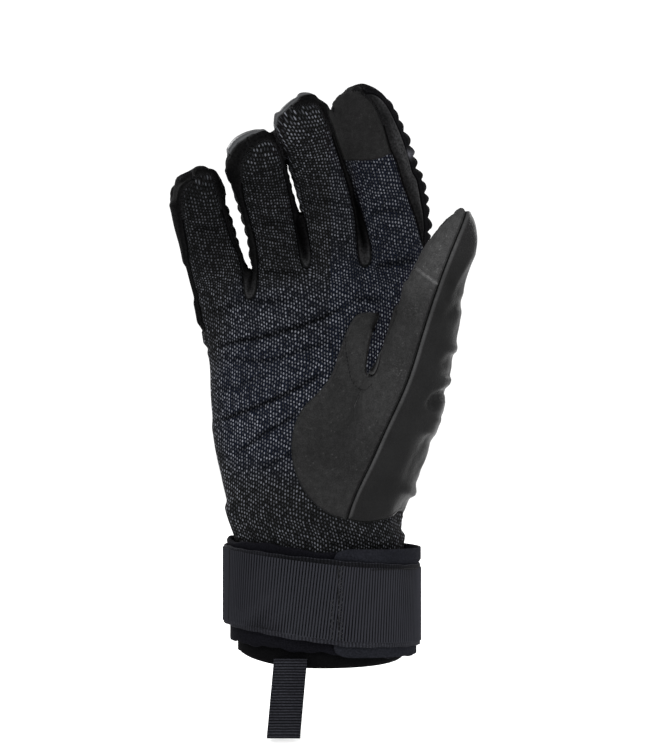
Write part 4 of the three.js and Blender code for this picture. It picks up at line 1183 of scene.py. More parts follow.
def knit_material(colours, s):
    """Dotted knit: columns of grip dots, each a little off its place, on a ground of fine yarns"""
    made, tree = material("dotted_knit", Specular_IOR_Level=0.02)
    place = tree.node("ShaderNodeUVMap", {"uv_map": "Cloth"})
    flat = tree.node("ShaderNodeSeparateXYZ", {}, place)
    along = tree.second()
    wobble = tree.noise(place, 0.006, 1.0)
    u = flat / (s.dot_across * MM) + (wobble - 0.5) * 0.9
    column = u.math("FLOOR", u)
    v = along / (s.dot_up * MM) + column * 0.31 + (wobble - 0.5) * 0.9
    row = v.math("FLOOR", v)
    cell = tree.node("ShaderNodeCombineXYZ", {}, column, row, 3.0)
    chance = tree.node("ShaderNodeTexWhiteNoise", {"noise_dimensions": "3D"}, cell)
    shift = tree.node("ShaderNodeSeparateXYZ", {}, tree.second())
    second = tree.second()
    across = u - column - 0.5 + (shift - 0.5) * 0.22
    up = v - row - 0.5 + (second - 0.5) * 0.22
    spread = across * across * (1 / 0.31 ** 2) + up * up * (1 / 0.36 ** 2)
    dot = 1 - tree.ramp(spread, 0.1, 1.3)
    tone = tree.value("tone")
    fold = tree.value("fold")
    spot = tree.spot()
    patches = tree.noise(spot, 0.022, 3.0)
    groove, welt = seam_shade(tree)
    bright = (chance * 0.8 + 0.2) ** 1.5 * dot * tone * tree.ramp(patches, 0.3, 0.7, 0.65, 1.2)
    # painted shade in the folds and the seam grooves
    shade = (1 - fold * 0.85) * (1 - groove * 0.9)
    yarn = tree.noise(place, 0.0005, 2.0, 0.6)
    blue = tuple(colours.knit_ground)
    worn = (sum(blue) / 3.4,) * 3
    ground = tree.blend(tree.ramp(tone, 0.55, 0.9), worn, blue)
    between = tree.ramp(spread, 0.9, 2.6, 0.35, 1.25) * (tone * 0.6 + 0.4)
    ground = tree.scaled(ground, tree.ramp(yarn, 0.3, 0.72, 0.2, 2.9) * between * shade)
    colour = tree.blend(bright * shade, ground, colours.knit_dot)
    height = dot * 0.8 + yarn * 0.35 - groove * 1.2 + welt * 0.8
    dress(tree, colour, 0.85 - dot * 0.15, height, 0.8, 0.0004)
    return made


def cloth_material(name, colour, grain, contrast, rough, relief=0.00018, specular=0.015):
    """Close cloth: its grain, its slow changes of tone, and its seams"""
    made, tree = material(name, Specular_IOR_Level=specular)
    spot = tree.spot()
    fine = tree.noise(spot, grain, 2.0, 0.6)
    slow = tree.noise(spot, 0.018, 3.0)
    groove, welt = seam_shade(tree)
    fold = tree.value("fold")
    tone = tree.ramp(fine, 0.25, 0.8, 1 - contrast, 1 + contrast) * tree.ramp(slow, 0.25, 0.75, 0.82, 1.18)
    # painted shade in seam grooves and folds, and a painted highlight on the welts beside the seams
    tone = tone * (1 - groove * 0.72) * (1 + welt * 0.5) * (1 - fold * 0.35) * tree.value("tone")
    shade = tree.scaled(colour, tone * (1 + tree.value("print") * 22))
    height = fine + welt * 1.6 - groove * 2.4 + slow * 0.8
    dress(tree, shade, rough, height, 0.8, relief)
    return made


def suede_material(colours):
    """Napped suede with specks and scuffs; a painted highlight along its rolled edges, and painted shade in its seams
    and folds
    """
    made, tree = material("suede", Specular_IOR_Level=0.03)
    spot = tree.spot()
    fine = tree.noise(spot, 0.00042, 3.0, 0.7)
    nap = tree.noise(spot, 0.0022, 3.0, 0.6)
    slow = tree.noise(spot, 0.020, 2.0)
    specks = tree.ramp(tree.noise(spot, 0.0011, 1.0), 0.70, 0.78)
    groove, welt = seam_shade(tree)
    fold = tree.value("fold")
    tone = tree.ramp(fine, 0.25, 0.8, 0.62, 1.4) * tree.ramp(nap, 0.3, 0.75, 0.85, 1.2)
    tone = tone * tree.ramp(slow, 0.3, 0.7, 0.88, 1.12)
    lit = tree.value("lit")
    # painted highlight along the rolled edges of the cross seam
    edge = (1 - tree.ramp(tree.value("seam"), 0.35, 0.85)) * lit
    scuffs = tree.ramp(tree.noise(spot, 0.0008, 2.0), 0.55, 0.66) * tree.value("worn")
    # painted shade in the seam grooves away from the lit edges, and in the folds; specks and scuffs are the suede's
    # own
    tone = tone * (1 - groove * (1 - lit) * 0.7) * (1 + edge * 1.5) * (1 + specks * 0.8 + scuffs * 1.2)
    tone = tone * (1 - fold * 0.45) * tree.value("tone")
    height = fine + nap * 0.7 + welt * 1.5 - groove * 2.4
    dress(tree, tree.scaled(tuple(colours.suede), tone), 0.95, height, 0.8, 0.0002)
    return made


def leather_material(colours):
    """Smooth leather with pores and wrinkles; a painted highlight along its turned edge, and painted shade at its
    seams and folds
    """
    made, tree = material("smooth_leather", Specular_IOR_Level=0.075)
    spot = tree.spot()
    pores = tree.node("ShaderNodeTexVoronoi", {"feature": "DISTANCE_TO_EDGE"}, Vector=spot, Scale=1 / 0.0009)
    fine = tree.noise(spot, 0.0006, 2.0)
    slow = tree.noise(spot, 0.012, 3.0)
    upright = tree.node("ShaderNodeVectorMath", {"operation": "MULTIPLY"}, spot, (1.0, 1.0, 0.35))
    wrinkle = tree.noise(upright, 0.004, 3.0, 0.6)
    groove, welt = seam_shade(tree)
    fold = tree.value("fold")
    tone = tree.ramp(slow, 0.3, 0.7, 0.8, 1.25) * tree.ramp(fine, 0.3, 0.7, 0.85, 1.15)
    seam = tree.value("seam")
    # painted highlight along the turned edge, painted shade right at the seam and in the folds
    edge = tree.ramp(seam, 0.35, 0.7) * (1 - tree.ramp(seam, 1.1, 2.1)) * tree.value("turned")
    tone = tone * (1 - (1 - tree.ramp(seam, 0.1, 0.5)) * 0.65) * (1 - fold * 0.3) * (1 + edge * 5)
    height = tree.ramp(pores, 0.0, 0.25) * 0.25 + fine * 0.3 + wrinkle * 1.2 + welt * 2.0 - groove * 2.6
    rough = 0.44 - tree.ramp(slow, 0.3, 0.7) * 0.1
    dress(tree, tree.scaled(tuple(colours.leather), tone), rough, height, 0.7, 0.00025)
    return made


# Spacing of the webbing's cross yarns and of the pull loop's ribs, in millimetres
YARN_PITCH = 0.55
LOOP_PITCH = 1.07


def weave_material(name, colour, pitch, contrast):
    """Ribbed webbing with fine yarns crossing its ribs; the flat place runs along the webbing, then across it"""
    made, tree = material(name, Specular_IOR_Level=0.025)
    place = tree.node("ShaderNodeUVMap", {"uv_map": "Cloth"})
    run = tree.node("ShaderNodeSeparateXYZ", {}, place)
    over = tree.second()
    wander = tree.noise(place, 0.004, 1.0)
    turn = run / (pitch * MM) + (wander - 0.5) * 0.25
    rib = (turn * (2 * math.pi)).math("COSINE", turn * (2 * math.pi)) * 0.5 + 0.5
    yarn_turn = over / (YARN_PITCH * MM) + turn.math("FLOOR", turn) * 0.5
    yarn = yarn_turn.math("COSINE", yarn_turn * (2 * math.pi)) * 0.5 + 0.5
    slow = tree.noise(place, 0.02, 3.0)
    fine = tree.noise(place, 0.0006, 2.0)
    # painted shade: darker between the crests of the ribs, and darker still on the ground between them
    tone = ((1 - contrast) + rib * contrast * 1.3 + yarn * 0.18) * (1 - tree.value("under") * 0.72)
    left = tree.node("ShaderNodeSeparateXYZ", {}, tree.spot())
    tone = tone * tree.ramp(left, -0.034, -0.012, 0.74, 1.0)
    tone = tone * tree.ramp(slow, 0.25, 0.75, 0.82, 1.18) * tree.ramp(fine, 0.25, 0.75, 0.6, 1.4)
    dress(tree, tree.scaled(colour, tone), 0.75, rib * 0.6 + yarn * 0.25 + fine * 0.4, 0.7, 0.0002)
    return made


def thread_material(name, colour):
    """Sewing thread"""
    made, tree = material(name, Specular_IOR_Level=0.08)
    spot = tree.spot()
    fine = tree.noise(spot, 0.0003, 1.0)
    dress(tree, tree.scaled(colour, tree.ramp(fine, 0.3, 0.7, 0.8, 1.3)), 0.7, fine, 0.5, 0.0001)
    return made


# Close cloths: colour, grain in metres, contrast, roughness, and relief in metres and specular level where
# they aren't the usual ones
CLOTHS = {
    "neoprene": ("neoprene", 0.0005, 0.45, 0.85),
    "stretch_knit": ("strip", 0.0008, 0.55, 0.9),
    "grey_print": ("grey_print", 0.0006, 0.14, 0.6, 0.0001, 0.12),
    "soft_loop": ("tab", 0.0007, 0.35, 0.95, 0.0003),
    "wrap_cloth": ("wrap", 0.0005, 0.45, 0.85),
}


@functools.lru_cache(maxsize=None)
def finish(name):
    """The material of a finish, made once"""
    scene = bpy.context.scene
    colours, s = scene.glove_colours, Sizes(scene)
    if name in CLOTHS:
        colour, *rest = CLOTHS[name]
        return cloth_material(name, tuple(getattr(colours, colour)), *rest)
    if name in ("thread", "overlock"):
        return thread_material(name, tuple(getattr(colours, name)))
    if name == "webbing":
        return weave_material(name, tuple(colours.webbing), s.webbing_pitch, 0.6)
    if name == "loop_webbing":
        return weave_material(name, tuple(colours.webbing), LOOP_PITCH, 0.88)
    if name == "dotted_knit":
        return knit_material(colours, s)
    return {"suede": suede_material, "smooth_leather": leather_material}[name](colours)


# Cuff: layers round the wrist. Turn is a share of a round, from the thumb side (0) by the back (0.25) and
# the little finger side (0.5) to the palm side (0.75)
def wave(turn):
    """From 1 on the thumb side to -1 on the little finger side"""
    return np.cos(2 * math.pi * turn)


def strap_rise(s, turn):
    """The strap sits higher on the little finger side"""
    return -0.14 * s.strap_height * wave(turn)


def strap_middle(s, turn):
    return s.cuff_height * 0.61 + strap_rise(s, turn)


def strap_half(s, turn):
    return s.strap_height * (1 + 0.05 * wave(turn)) / 2


def wrap_low(s, turn):
    return s.cuff_height * (0.15 - 0.07 * wave(turn))


def wrap_high(s, turn):
    ripple = 0.98 + 0.015 * np.sin(10 * math.pi * turn) + 0.006 * np.sin(34 * math.pi * turn + 1)
    return wrap_low(s, turn) + s.wrap_height * ripple


def layer_starts(s):
    """How far the wrap, the tab and the strap start from the sleeve"""
    wrap = s.gap
    tab = wrap + s.wrap_thickness + s.gap
    return wrap, tab, tab + s.tab_thickness + s.gap


def wrist_place(s, turn, stand, height):
    """Places round the wrist, which stand off the sleeve"""
    angle = 2 * math.pi * turn
    return np.stack([(s.wrist_width / 2 + stand) * np.cos(angle), (s.wrist_depth / 2 + stand) * np.sin(angle),
                     height + 0 * turn], -1)


def filleted(corners, radius, steps=3):
    """A closed section with its corners rounded; corners are pairs of arrays"""
    corners = np.array(corners, float)
    result = []
    for n in range(len(corners)):
        here, before, after = corners[n], corners[n - 1], corners[(n + 1) % len(corners)]
        for k in range(steps + 1):
            t = k / steps
            ends = []
            for other in (before, after):
                way = other - here
                size = np.linalg.norm(way)
                ends.append(here + way / size * min(radius, size * 0.45))
            result.append((1 - t) ** 2 * ends[0] + 2 * t * (1 - t) * here + t * t * ends[1])
    return np.array(result)


def outward(points):
    """The level way out from the middle of the wrist"""
    return unit(points * np.array([1, 1, 0]))


# The cloth of the cuff's layers is longer than a round of the sleeve by this factor; their unevenness has
# humps this wide, in millimetres
LAYER_ROUND = 1.14
LAYER_GRAIN = 11


def band_piece(name, turns, section, closed, look, wobble=0.0, seed=0, under=()):
    """A layer round the wrist over turns. Section gives the rounded corners at a turn; those under are the ones
    between the ribs, where painted shade darkens the webbing"""
    s = Sizes(bpy.context.scene)
    rows = [section(turn) for turn in turns]
    count = len(rows[0])
    length = math.pi * (s.wrist_width + s.wrist_depth) / 2
    points = np.vstack([wrist_place(s, np.full(count, turn), row[:, 0], row[:, 1]) for turn, row in zip(turns, rows)])
    cloth = np.vstack([np.stack([np.full(count, turn * length * LAYER_ROUND), lengths_along(row)], 1)
                       for turn, row in zip(turns, rows)])
    if wobble:
        points = points + outward(points) * (wobble * unevenness(points, LAYER_GRAIN, seed))[:, None]
    links = len(rows) if closed else len(rows) - 1
    here = np.arange(count)
    after = (here + 1) % count
    quads = []
    for n in range(links):
        low, high = n * count, ((n + 1) % len(rows)) * count
        quads.append(np.stack([low + here, high + here, high + after, low + after], 1))
    faces = np.vstack(quads)[:, ::-1].tolist()
    if not closed:
        last = (len(rows) - 1) * count
        faces += [list(range(count)), [last + n for n in reversed(range(count))]]
    # webbing gets painted shade between its ribs, less of it on the little finger side
    below = np.tile(np.isin(here, under), len(rows)) * (0.4 + 0.6 * smooth(points[:, 0], -30, -12))
    piece = cloth_object(name, points, faces, cloth, {
        "seam": np.full(len(points), FAR), "tone": np.ones(len(points)), "under": below})
    finish_piece(piece, look, name.rsplit("_", 1)[0])


class GloveOperator(bpy.types.Operator):
    bl_options = {"REGISTER", "UNDO"}

    def execute(self, context):
        self.build(Sizes(context.scene))
        return {"FINISHED"}


class GLOVE_OT_palm(GloveOperator):
    """Make the dotted knit palm and the finger fronts"""
    bl_idname = "glove.palm"
    bl_label = "Knit palm"

    def build(self, s):
        panel_piece(KNIT, "dotted_knit")


class GLOVE_OT_back(GloveOperator):
    """Make the neoprene back of the hand"""
    bl_idname = "glove.back"
    bl_label = "Neoprene back"

    def build(self, s):
        panel_piece(BACK, "neoprene", tone=1)


class GLOVE_OT_strips(GloveOperator):
    """Make the stretch strips between the fingers and on the outer sides"""
    bl_idname = "glove.strips"
    bl_label = "Finger strips"

    def build(self, s):
        for panel in range(FIRST_STRIP, len(PANELS)):
            panel_piece(panel, "stretch_knit")


class GLOVE_OT_tips(GloveOperator):
    """Make the grey printed tip caps and the patch of the index fingertip"""
    bl_idname = "glove.tips"
    bl_label = "Fingertips"

    def build(self, s):
        for panel in range(FIRST_CAP, FIRST_STRIP):
            panel_piece(panel, "grey_print", tone=1)
        panel_piece(PATCH, "suede", 0.2, 0.72)


class GLOVE_OT_thumb(GloveOperator):
    """Make the suede and smooth leather panels of the thumb"""
    bl_idname = "glove.thumb"
    bl_label = "Thumb panels"

    def build(self, s):
        panel_piece(SUEDE, "suede", 0.45)
        panel_piece(SUEDE_TIP, "suede", 0.2)
        panel_piece(LEATHER, "smooth_leather", 0.3)


class GLOVE_OT_cuff(GloveOperator):
    """Make the sleeve and the wrap of the cuff"""
    bl_idname = "glove.cuff"
    bl_label = "Sleeve and wrap"

    def build(self, s):
        top, hem = s.cuff_height - s.gap, s.cuff_height * 0.12
        wall = s.sleeve_wall
        turns = np.arange(240) / 240
        sleeve = filleted([(-2.6 - wall, 0), (-2.6, 0), (-1.0, 1.6), (-0.2, hem), (0, top), (-wall, top),
                           (-wall, hem)], 0.8)

        def sleeve_section(turn):
            row = sleeve.copy()
            side = math.cos(2 * math.pi * turn)
            rise = (4.2 if side < 0 else 2.2) * side ** 2 + 0.35 * math.sin(6 * math.pi * turn)
            row[:, 1] += np.where(row[:, 1] < hem + 0.1, rise * (1 - row[:, 1] / hem * 0.5), 0)
            return row

        band_piece("cuff_sleeve_cloth", turns, sleeve_section, True, "neoprene")
        start = layer_starts(s)[0]

        def wrap_section(turn):
            low = wrap_low(s, turn) + 0.4 * math.sin(22 * math.pi * turn) + 0.25 * math.sin(54 * math.pi * turn)
            high = wrap_high(s, turn)
            thick = s.wrap_thickness
            lean = 1.2 + 0.5 * math.sin(8 * math.pi * turn + 1)
            return filleted([(start, low), (start + thick, low), (start + thick, high - 5),
                             (start + thick + lean, high), (start + lean, high), (start, high - 5)], 1.0)

        band_piece("wrist_wrap_cloth", turns, wrap_section, True, "wrap_cloth", 0.3, 7)


class GLOVE_OT_tab(GloveOperator):
    """Make the soft tab under the strap"""
    bl_idname = "glove.tab"
    bl_label = "Strap tab"

    def build(self, s):
        start, strap = layer_starts(s)[1:]
        first, last = 0.77, 1.2
        rounding = 0.03
        turns = np.r_[np.linspace(first, first + rounding, 12)[:-1],
                      np.linspace(first + rounding, last - rounding, 90),
                      np.linspace(last - rounding, last, 12)[1:]]

        def section(turn):
            end = min(turn - first, last - turn) / rounding
            full = math.sqrt(max(0.0, 1 - (1 - min(end, 1)) ** 2))
            half = s.tab_height / 2 * mix(0.84, 1, full)
            centre = s.cuff_height * 0.59 + strap_rise(s, turn) * 0.3
            strap_top = strap_middle(s, turn) + strap_half(s, turn)
            bend = min(strap_top + s.gap, centre + half - s.tab_thickness)
            flare = strap + s.strap_thickness - start - s.tab_thickness
            thick = s.tab_thickness
            low, high = centre - half, centre + half + 0.4
            return filleted([(start, low), (start + thick, low), (start + thick, bend - 1),
                             (start + thick + flare, bend + 1.2), (start + thick + flare, high),
                             (start + flare, high), (start + flare, bend + 1.2), (start, bend - 1)], 0.45)

        band_piece("strap_tab_cloth", turns, section, False, "soft_loop")


def strap_edges(s, turn):
    """Lower and upper edge of the strap; it narrows a little towards the thumb side"""
    middle, half = strap_middle(s, turn), strap_half(s, turn)
    return middle - half + 2.0 * smooth(wave(turn), 0.2, 1), middle + half


# The turn where the strap starts; its unevenness: height in millimetres and seed; how deep the ground of its
# ribs lies and how wide its plain edges are, in millimetres
STRAP_START = 0.18
STRAP_WOBBLE, STRAP_SEED = 0.18, 11
STRAP_GROUND = 0.37
SELVEDGE = 2.0


def strap_lift(s, turn):
    """How far the strap's end stands off, over its start"""
    return (s.strap_thickness + s.gap) * smooth(turn - STRAP_START, 0.84, 0.97)


class GLOVE_OT_strap(GloveOperator):
    """Make the ribbed webbing strap"""
    bl_idname = "glove.strap"
    bl_label = "Wrist strap"

    def build(self, s):
        inner = layer_starts(s)[2]
        round_length = math.pi * ((s.wrist_width + s.wrist_depth) / 2 + 2 * inner)
        end = STRAP_START + 1 + s.strap_overlap / round_length
        turns = np.linspace(STRAP_START, end, 420)

        def section(turn):
            lift = inner + strap_lift(s, turn)
            low, high = strap_edges(s, turn)
            face = lift + s.strap_thickness - 0.25
            ground = lift + s.strap_thickness - STRAP_GROUND
            edge = 0.12 * math.sin(150 * turn) + 0.1 * math.sin(61 * turn)
            return filleted([(lift, low + edge), (face, low + edge), (face, low + SELVEDGE),
                             (ground, low + SELVEDGE + 0.25), (ground, high - SELVEDGE - 0.25),
                             (face, high - SELVEDGE), (face, high + edge), (lift, high + edge)], 0.4, 2)

        ribbed = range(2 * 3 + 2, 7 * 3 - 2)
        band_piece("wrist_strap_band", turns, section, False, "webbing", STRAP_WOBBLE, STRAP_SEED, ribbed)
        places = np.linspace(STRAP_START + 0.003, end - 0.003, 900)
        stand = inner + strap_lift(s, places) + s.strap_thickness - STRAP_GROUND
        path = wrist_place(s, places, stand, sum(strap_edges(s, places)) / 2)
        ways = outward(path)
        path = path + ways * (STRAP_WOBBLE * unevenness(path, LAYER_GRAIN, STRAP_SEED))[:, None]
        sizes = (s.webbing_pitch, s.webbing_pitch * 0.72, s.strap_height - 3.8, 0.9)
        repeat_piece("wrist_strap_ribs", [chain(path, ways)], "ribs", sizes, "webbing")


# Sewing in the front view: round the tongue of suede, the zigzags of the strap as middle, top, bottom and swing, and
# dark thread laid on the strap as painted shadow along its grooves and edges
TONGUE_LINE = [(346, 326), (345, 345), (348, 366), (352, 384), (364, 392), (372, 384)]
TACKS = [(340.5, 566, 641, 2.6), (332.0, 600, 641, 1.6)]
TACK_STEP = 2.6
SHADOW_LINES = [[(372, 570), (418, 568.5)], [(229.5, 551), (228.5, 621)], [(338, 566), (338.5, 641)]]


class GLOVE_OT_stitches(GloveOperator):
    """Make the stitches of the tongue, the strap and the fingertips"""
    bl_idname = "glove.stitches"
    bl_label = "Stitches"

    def build(self, s):
        skin = hand_skin(size_key())
        borders, kinds = skin.borders
        round_tips = (skin.values["past"][borders].mean(1) > -15) & (kinds >= FIRST_STRIP).any(1)
        round_tips &= np.isin(kinds, [KNIT, PATCH]).any(1)
        used, edges = np.unique(borders[round_tips], return_inverse=True)
        path = (skin.points[used] + skin.normal[used] * 0.15, skin.normal[used], edges.reshape(-1, 2))
        repeat_piece("fingertip_overlock", [path], "stitches", (0.62, 0.42, 1.7, 0.5), "thread",
                     0.45, 0.35)
        cloth = [bpy.data.objects[name] for name in ("thumb_palm_panel_cloth", "palm_panel_cloth")]
        tongue = on_surface(cloth, rounded(TONGUE_LINE, False))
        repeat_piece("tongue_stitches", [tongue], "stitches", (1.5, 1.15, 0.32, 0.3), "thread", 0.2)
        strap = [bpy.data.objects[name] for name in ("wrist_strap_band", "wrist_strap_ribs")]
        tacks = []
        for middle, low, high, swing in TACKS:
            steps = np.arange(low, high, TACK_STEP)
            tacks.append(on_surface(strap, [(middle + swing * (-1) ** n, y) for n, y in enumerate(steps)], 0.12))
        repeat_piece("strap_tacks", tacks, "stitches", (0.8, 0.62, 0.42, 0.5), "overlock", 0.3)
        # dark thread laid as painted shadow along grooves and edges of the strap
        shadow_lines = [on_surface(strap, line, 0.05) for line in SHADOW_LINES]
        repeat_piece("strap_slits", shadow_lines, "stitches", (0.5, 0.8, 0.45, 0.3), "thread")


# Sizes of the repeated pieces: from one to the next, along the path, across it and out of the cloth
REPEAT_SIZES = ("Spacing", "Along", "Across", "Height")


@functools.lru_cache(maxsize=None)
def repeat_tree(kind, look):
    """Geometry Nodes that set like pieces along paths: ribs across the path or stitches along it. The
    attribute "out" of the path is the way the surface under it faces"""
    group = bpy.data.node_groups.new(f"{kind}_along_path", "GeometryNodeTree")
    group.interface.new_socket("Geometry", in_out="INPUT", socket_type="NodeSocketGeometry")
    for name in (*REPEAT_SIZES, "Unevenness", "Turn"):
        group.interface.new_socket(name, in_out="INPUT", socket_type="NodeSocketFloat")
    group.interface.new_socket("Geometry", in_out="OUTPUT", socket_type="NodeSocketGeometry")
    tree = Tree(group)
    tree.node("NodeGroupInput")
    given = {socket.name: Wire(tree, socket) for socket in tree.last.outputs}
    curve = tree.node("GeometryNodeMeshToCurve", {}, given["Geometry"])
    evenly = tree.node("GeometryNodeResampleCurve", {"mode": "LENGTH"}, curve, Length=given["Spacing"])
    out = tree.node("GeometryNodeInputNamedAttribute", {"data_type": "FLOAT_VECTOR"}, "out")
    flat = tree.node("FunctionNodeAlignRotationToVector", {"axis": "Z"}, Vector=out)
    rotation = tree.node("FunctionNodeAlignRotationToVector", {"axis": "X", "pivot_axis": "Z"}, flat,
                         Vector=tree.node("GeometryNodeInputTangent"))
    chance = tree.node("FunctionNodeRandomValue", {"data_type": "FLOAT"}, None, None, -1.0, 1.0, Seed=4, out=1)
    swing = tree.node("ShaderNodeCombineXYZ", {}, 0.0, 0.0, given["Turn"] + chance * given["Unevenness"])
    rotation = tree.node("FunctionNodeRotateRotation", {"rotation_space": "LOCAL"}, rotation,
                         tree.node("FunctionNodeEulerToRotation", {}, swing))
    if kind == "ribs":
        upright = tree.node("GeometryNodeMeshCylinder", {"fill_type": "TRIANGLE_FAN"}, 8, 1, 1, 0.5, 1.0)
        rod = tree.node("GeometryNodeTransform", {}, upright, Rotation=(math.pi / 2, 0, 0))
    else:
        rod = tree.node("GeometryNodeMeshUVSphere", {}, 6, 5, 0.5)
    size = tree.node("ShaderNodeCombineXYZ", {}, given["Along"], given["Across"], given["Height"])
    size = tree.scaled(size, 1 + chance * given["Unevenness"] * 0.5)
    held = tree.node("GeometryNodeStoreNamedAttribute", {"data_type": "QUATERNION", "domain": "POINT"}, evenly,
                     None, "turned", rotation)
    turned = tree.node("GeometryNodeInputNamedAttribute", {"data_type": "QUATERNION"}, "turned")
    points = tree.node("GeometryNodeInstanceOnPoints", {}, held, None, rod, Rotation=turned, Scale=size)
    whole = tree.node("GeometryNodeRealizeInstances", {}, points)
    smooth_shade = tree.node("GeometryNodeSetShadeSmooth", {}, whole)
    coloured = tree.node("GeometryNodeSetMaterial", {}, smooth_shade, Material=finish(look))
    output = group.nodes.new("NodeGroupOutput")
    group.links.new(coloured.socket, output.inputs[0])
    return group


def repeat_piece(name, paths, kind, sizes, look, uneven=0.0, turn=0.0):
    """Like pieces along paths, as one plain mesh. A path is its points, the way out at each and its edges; the
    sizes are those of REPEAT_SIZES, in millimetres"""
    mesh = bpy.data.meshes.new(name)
    edges, start = [], 0
    for points, _, links in paths:
        edges.append(np.asarray(links) + start)
        start += len(points)
    mesh.from_pydata((np.vstack([path[0] for path in paths]) * MM).tolist(), np.vstack(edges).tolist(), [])
    ways = np.vstack([path[1] for path in paths]).astype(np.float32)
    mesh.attributes.new("out", "FLOAT_VECTOR", "POINT").data.foreach_set("vector", ways.ravel())
    piece = bpy.data.objects.new(name, mesh)
    bpy.context.scene.collection.objects.link(piece)
    modifier = piece.modifiers.new("Repeat", "NODES")
    modifier.node_group = repeat_tree(kind, look)
    given = {"Unevenness": uneven, "Turn": turn} | {key: size * MM for key, size in zip(REPEAT_SIZES, sizes)}
    for item in modifier.node_group.interface.items_tree:
        if item.in_out == "INPUT" and item.name in given:
            modifier[item.identifier] = float(given[item.name])
    made = bpy.data.meshes.new_from_object(piece.evaluated_get(bpy.context.evaluated_depsgraph_get()))
    piece.modifiers.remove(modifier)
    piece.data = made
    made.name = name
    if not len(made.polygons):
        raise RuntimeError(f"{name} came out empty")
    finish_piece(piece, None)


def chain(points, ways):
    """A path through points in their order"""
    return points, ways, [(n, n + 1) for n in range(len(points) - 1)]


def on_surface(pieces, corners, lift=0.1, step=0.4):
    """A path over the pieces under a line of the front view, lifted off them a little"""
    trees = [BVHTree.FromPolygons([v.co for v in piece.data.vertices], [p.vertices for p in piece.data.polygons])
             for piece in pieces]
    eye = Vector((VIEW_X, -VIEW_FAR, VIEW_Z)) * MM
    line = np.array(corners, float)
    length = lengths_along(line)
    places = np.arange(0, length[-1], step / VIEW_STEP)
    points, ways = [], []
    for px, py in zip(np.interp(places, length, line[:, 0]), np.interp(places, length, line[:, 1])):
        way = Vector(((px - VIEW_MIDDLE[0]) * VIEW_STEP, VIEW_FAR, (VIEW_MIDDLE[1] - py) * VIEW_STEP)).normalized()
        hits = [tree.ray_cast(eye, way) for tree in trees]
        hits = [hit for hit in hits if hit[0] is not None]
        if hits:
            place, normal = min(hits, key=lambda hit: hit[3])[:2]
            points.append(np.array(place) / MM + np.array(normal) * lift)
            ways.append(np.array(normal))
    return chain(np.array(points), np.array(ways))


# The pull loop: its place across, as a share of the wrist's width from the middle, its top, as a share of the
# cuff's height, and how far it runs sideways for each millimetre down
PULL_ACROSS, PULL_TOP, PULL_LEAN = -0.18, 0.1, 0.09
# Section of the webbing: across and out, as shares of its half width and half thickness
PULL_SECTION = [(-1, -0.6), (-0.97, -1), (0.97, -1), (1, -0.6), (1, 0.6), (0.97, 1), (-0.97, 1), (-1, 0.6)]
RIB_DEPTH = 0.4


class GLOVE_OT_pull(GloveOperator):
    """Make the pull loop of ribbed webbing"""
    bl_idname = "glove.pull"
    bl_label = "Pull loop"

    def build(self, s):
        x = PULL_ACROSS * s.wrist_width
        top = PULL_TOP * s.cuff_height
        face = -(s.wrist_depth / 2) * math.sqrt(1 - (x / (s.wrist_width / 2)) ** 2) - s.gap
        outer = s.pull_eye / 2 + s.pull_thickness
        middle = s.pull_eye / 2 + s.pull_thickness / 2
        eye_y, eye_z = face - outer, top - s.pull_length + outer
        front_y = face - 1.5 * s.pull_thickness - s.gap
        back_y = face - 0.5 * s.pull_thickness
        bend = eye_z + 6
        long, short = np.linspace(0, 1, 130), np.linspace(0, 1, 30)
        eased = smooth(long, 0, 1)
        turn = np.linspace(0, math.pi, 40)[1:-1]
        line = np.vstack([
            np.stack([mix(front_y, eye_y - middle, eased), mix(top, bend, long)], 1),
            np.stack([np.full(29, eye_y - middle), mix(bend, eye_z, short[1:])], 1),
            np.stack([eye_y - middle * np.cos(turn), eye_z - middle * np.sin(turn)], 1),
            np.stack([np.full(30, eye_y + middle), mix(eye_z, bend, short)], 1),
            np.stack([mix(eye_y + middle, back_y, eased[1:]), mix(bend, top, long[1:])], 1)])
        length = lengths_along(line)
        even = np.linspace(0, length[-1], 560)
        line = np.stack([np.interp(even, length, line[:, k]) for k in (0, 1)], 1)
        ahead = unit(np.gradient(line, axis=0))
        normal = np.stack([-ahead[:, 1], ahead[:, 0]], 1)
        if normal[0, 0] > 0:
            normal = -normal
        rib = np.abs(np.cos(math.pi * even / LOOP_PITCH)) ** 0.8
        half_thick = s.pull_thickness / 2 - RIB_DEPTH + RIB_DEPTH * rib
        points, cloth = [], []
        for (y, z), (ny, nz), half, place in zip(line, normal, half_thick, even):
            for across, out in PULL_SECTION:
                edge = s.pull_width / 2 * across
                points.append((x + edge - PULL_LEAN * (top - z), y + ny * half * out, z + nz * half * out))
                cloth.append((place, edge))
        count = len(PULL_SECTION)
        faces = []
        for n in range(len(line) - 1):
            for k in range(count):
                j = (k + 1) % count
                faces.append((n * count + k, n * count + j, (n + 1) * count + j, (n + 1) * count + k))
        last = (len(line) - 1) * count
        faces += [tuple(reversed(range(count))), tuple(last + k for k in range(count))]
        piece = cloth_object("pull_loop_webbing", points, faces, cloth, {})
        finish_piece(piece, "loop_webbing", "pull_loop")


# Lights: name, place in metres, power in watts, size in metres
LIGHTS = [("key", (-0.55, -0.9, 0.75), 9, 0.5), ("fill", (0.9, -0.7, 0.35), 5, 0.6),
          ("rim", (0.8, 0.55, 0.5), 6, 0.5), ("back", (-0.7, 0.9, 0.7), 14, 0.4)]
WORLD_STRENGTH = 1.12
SENSOR = 24


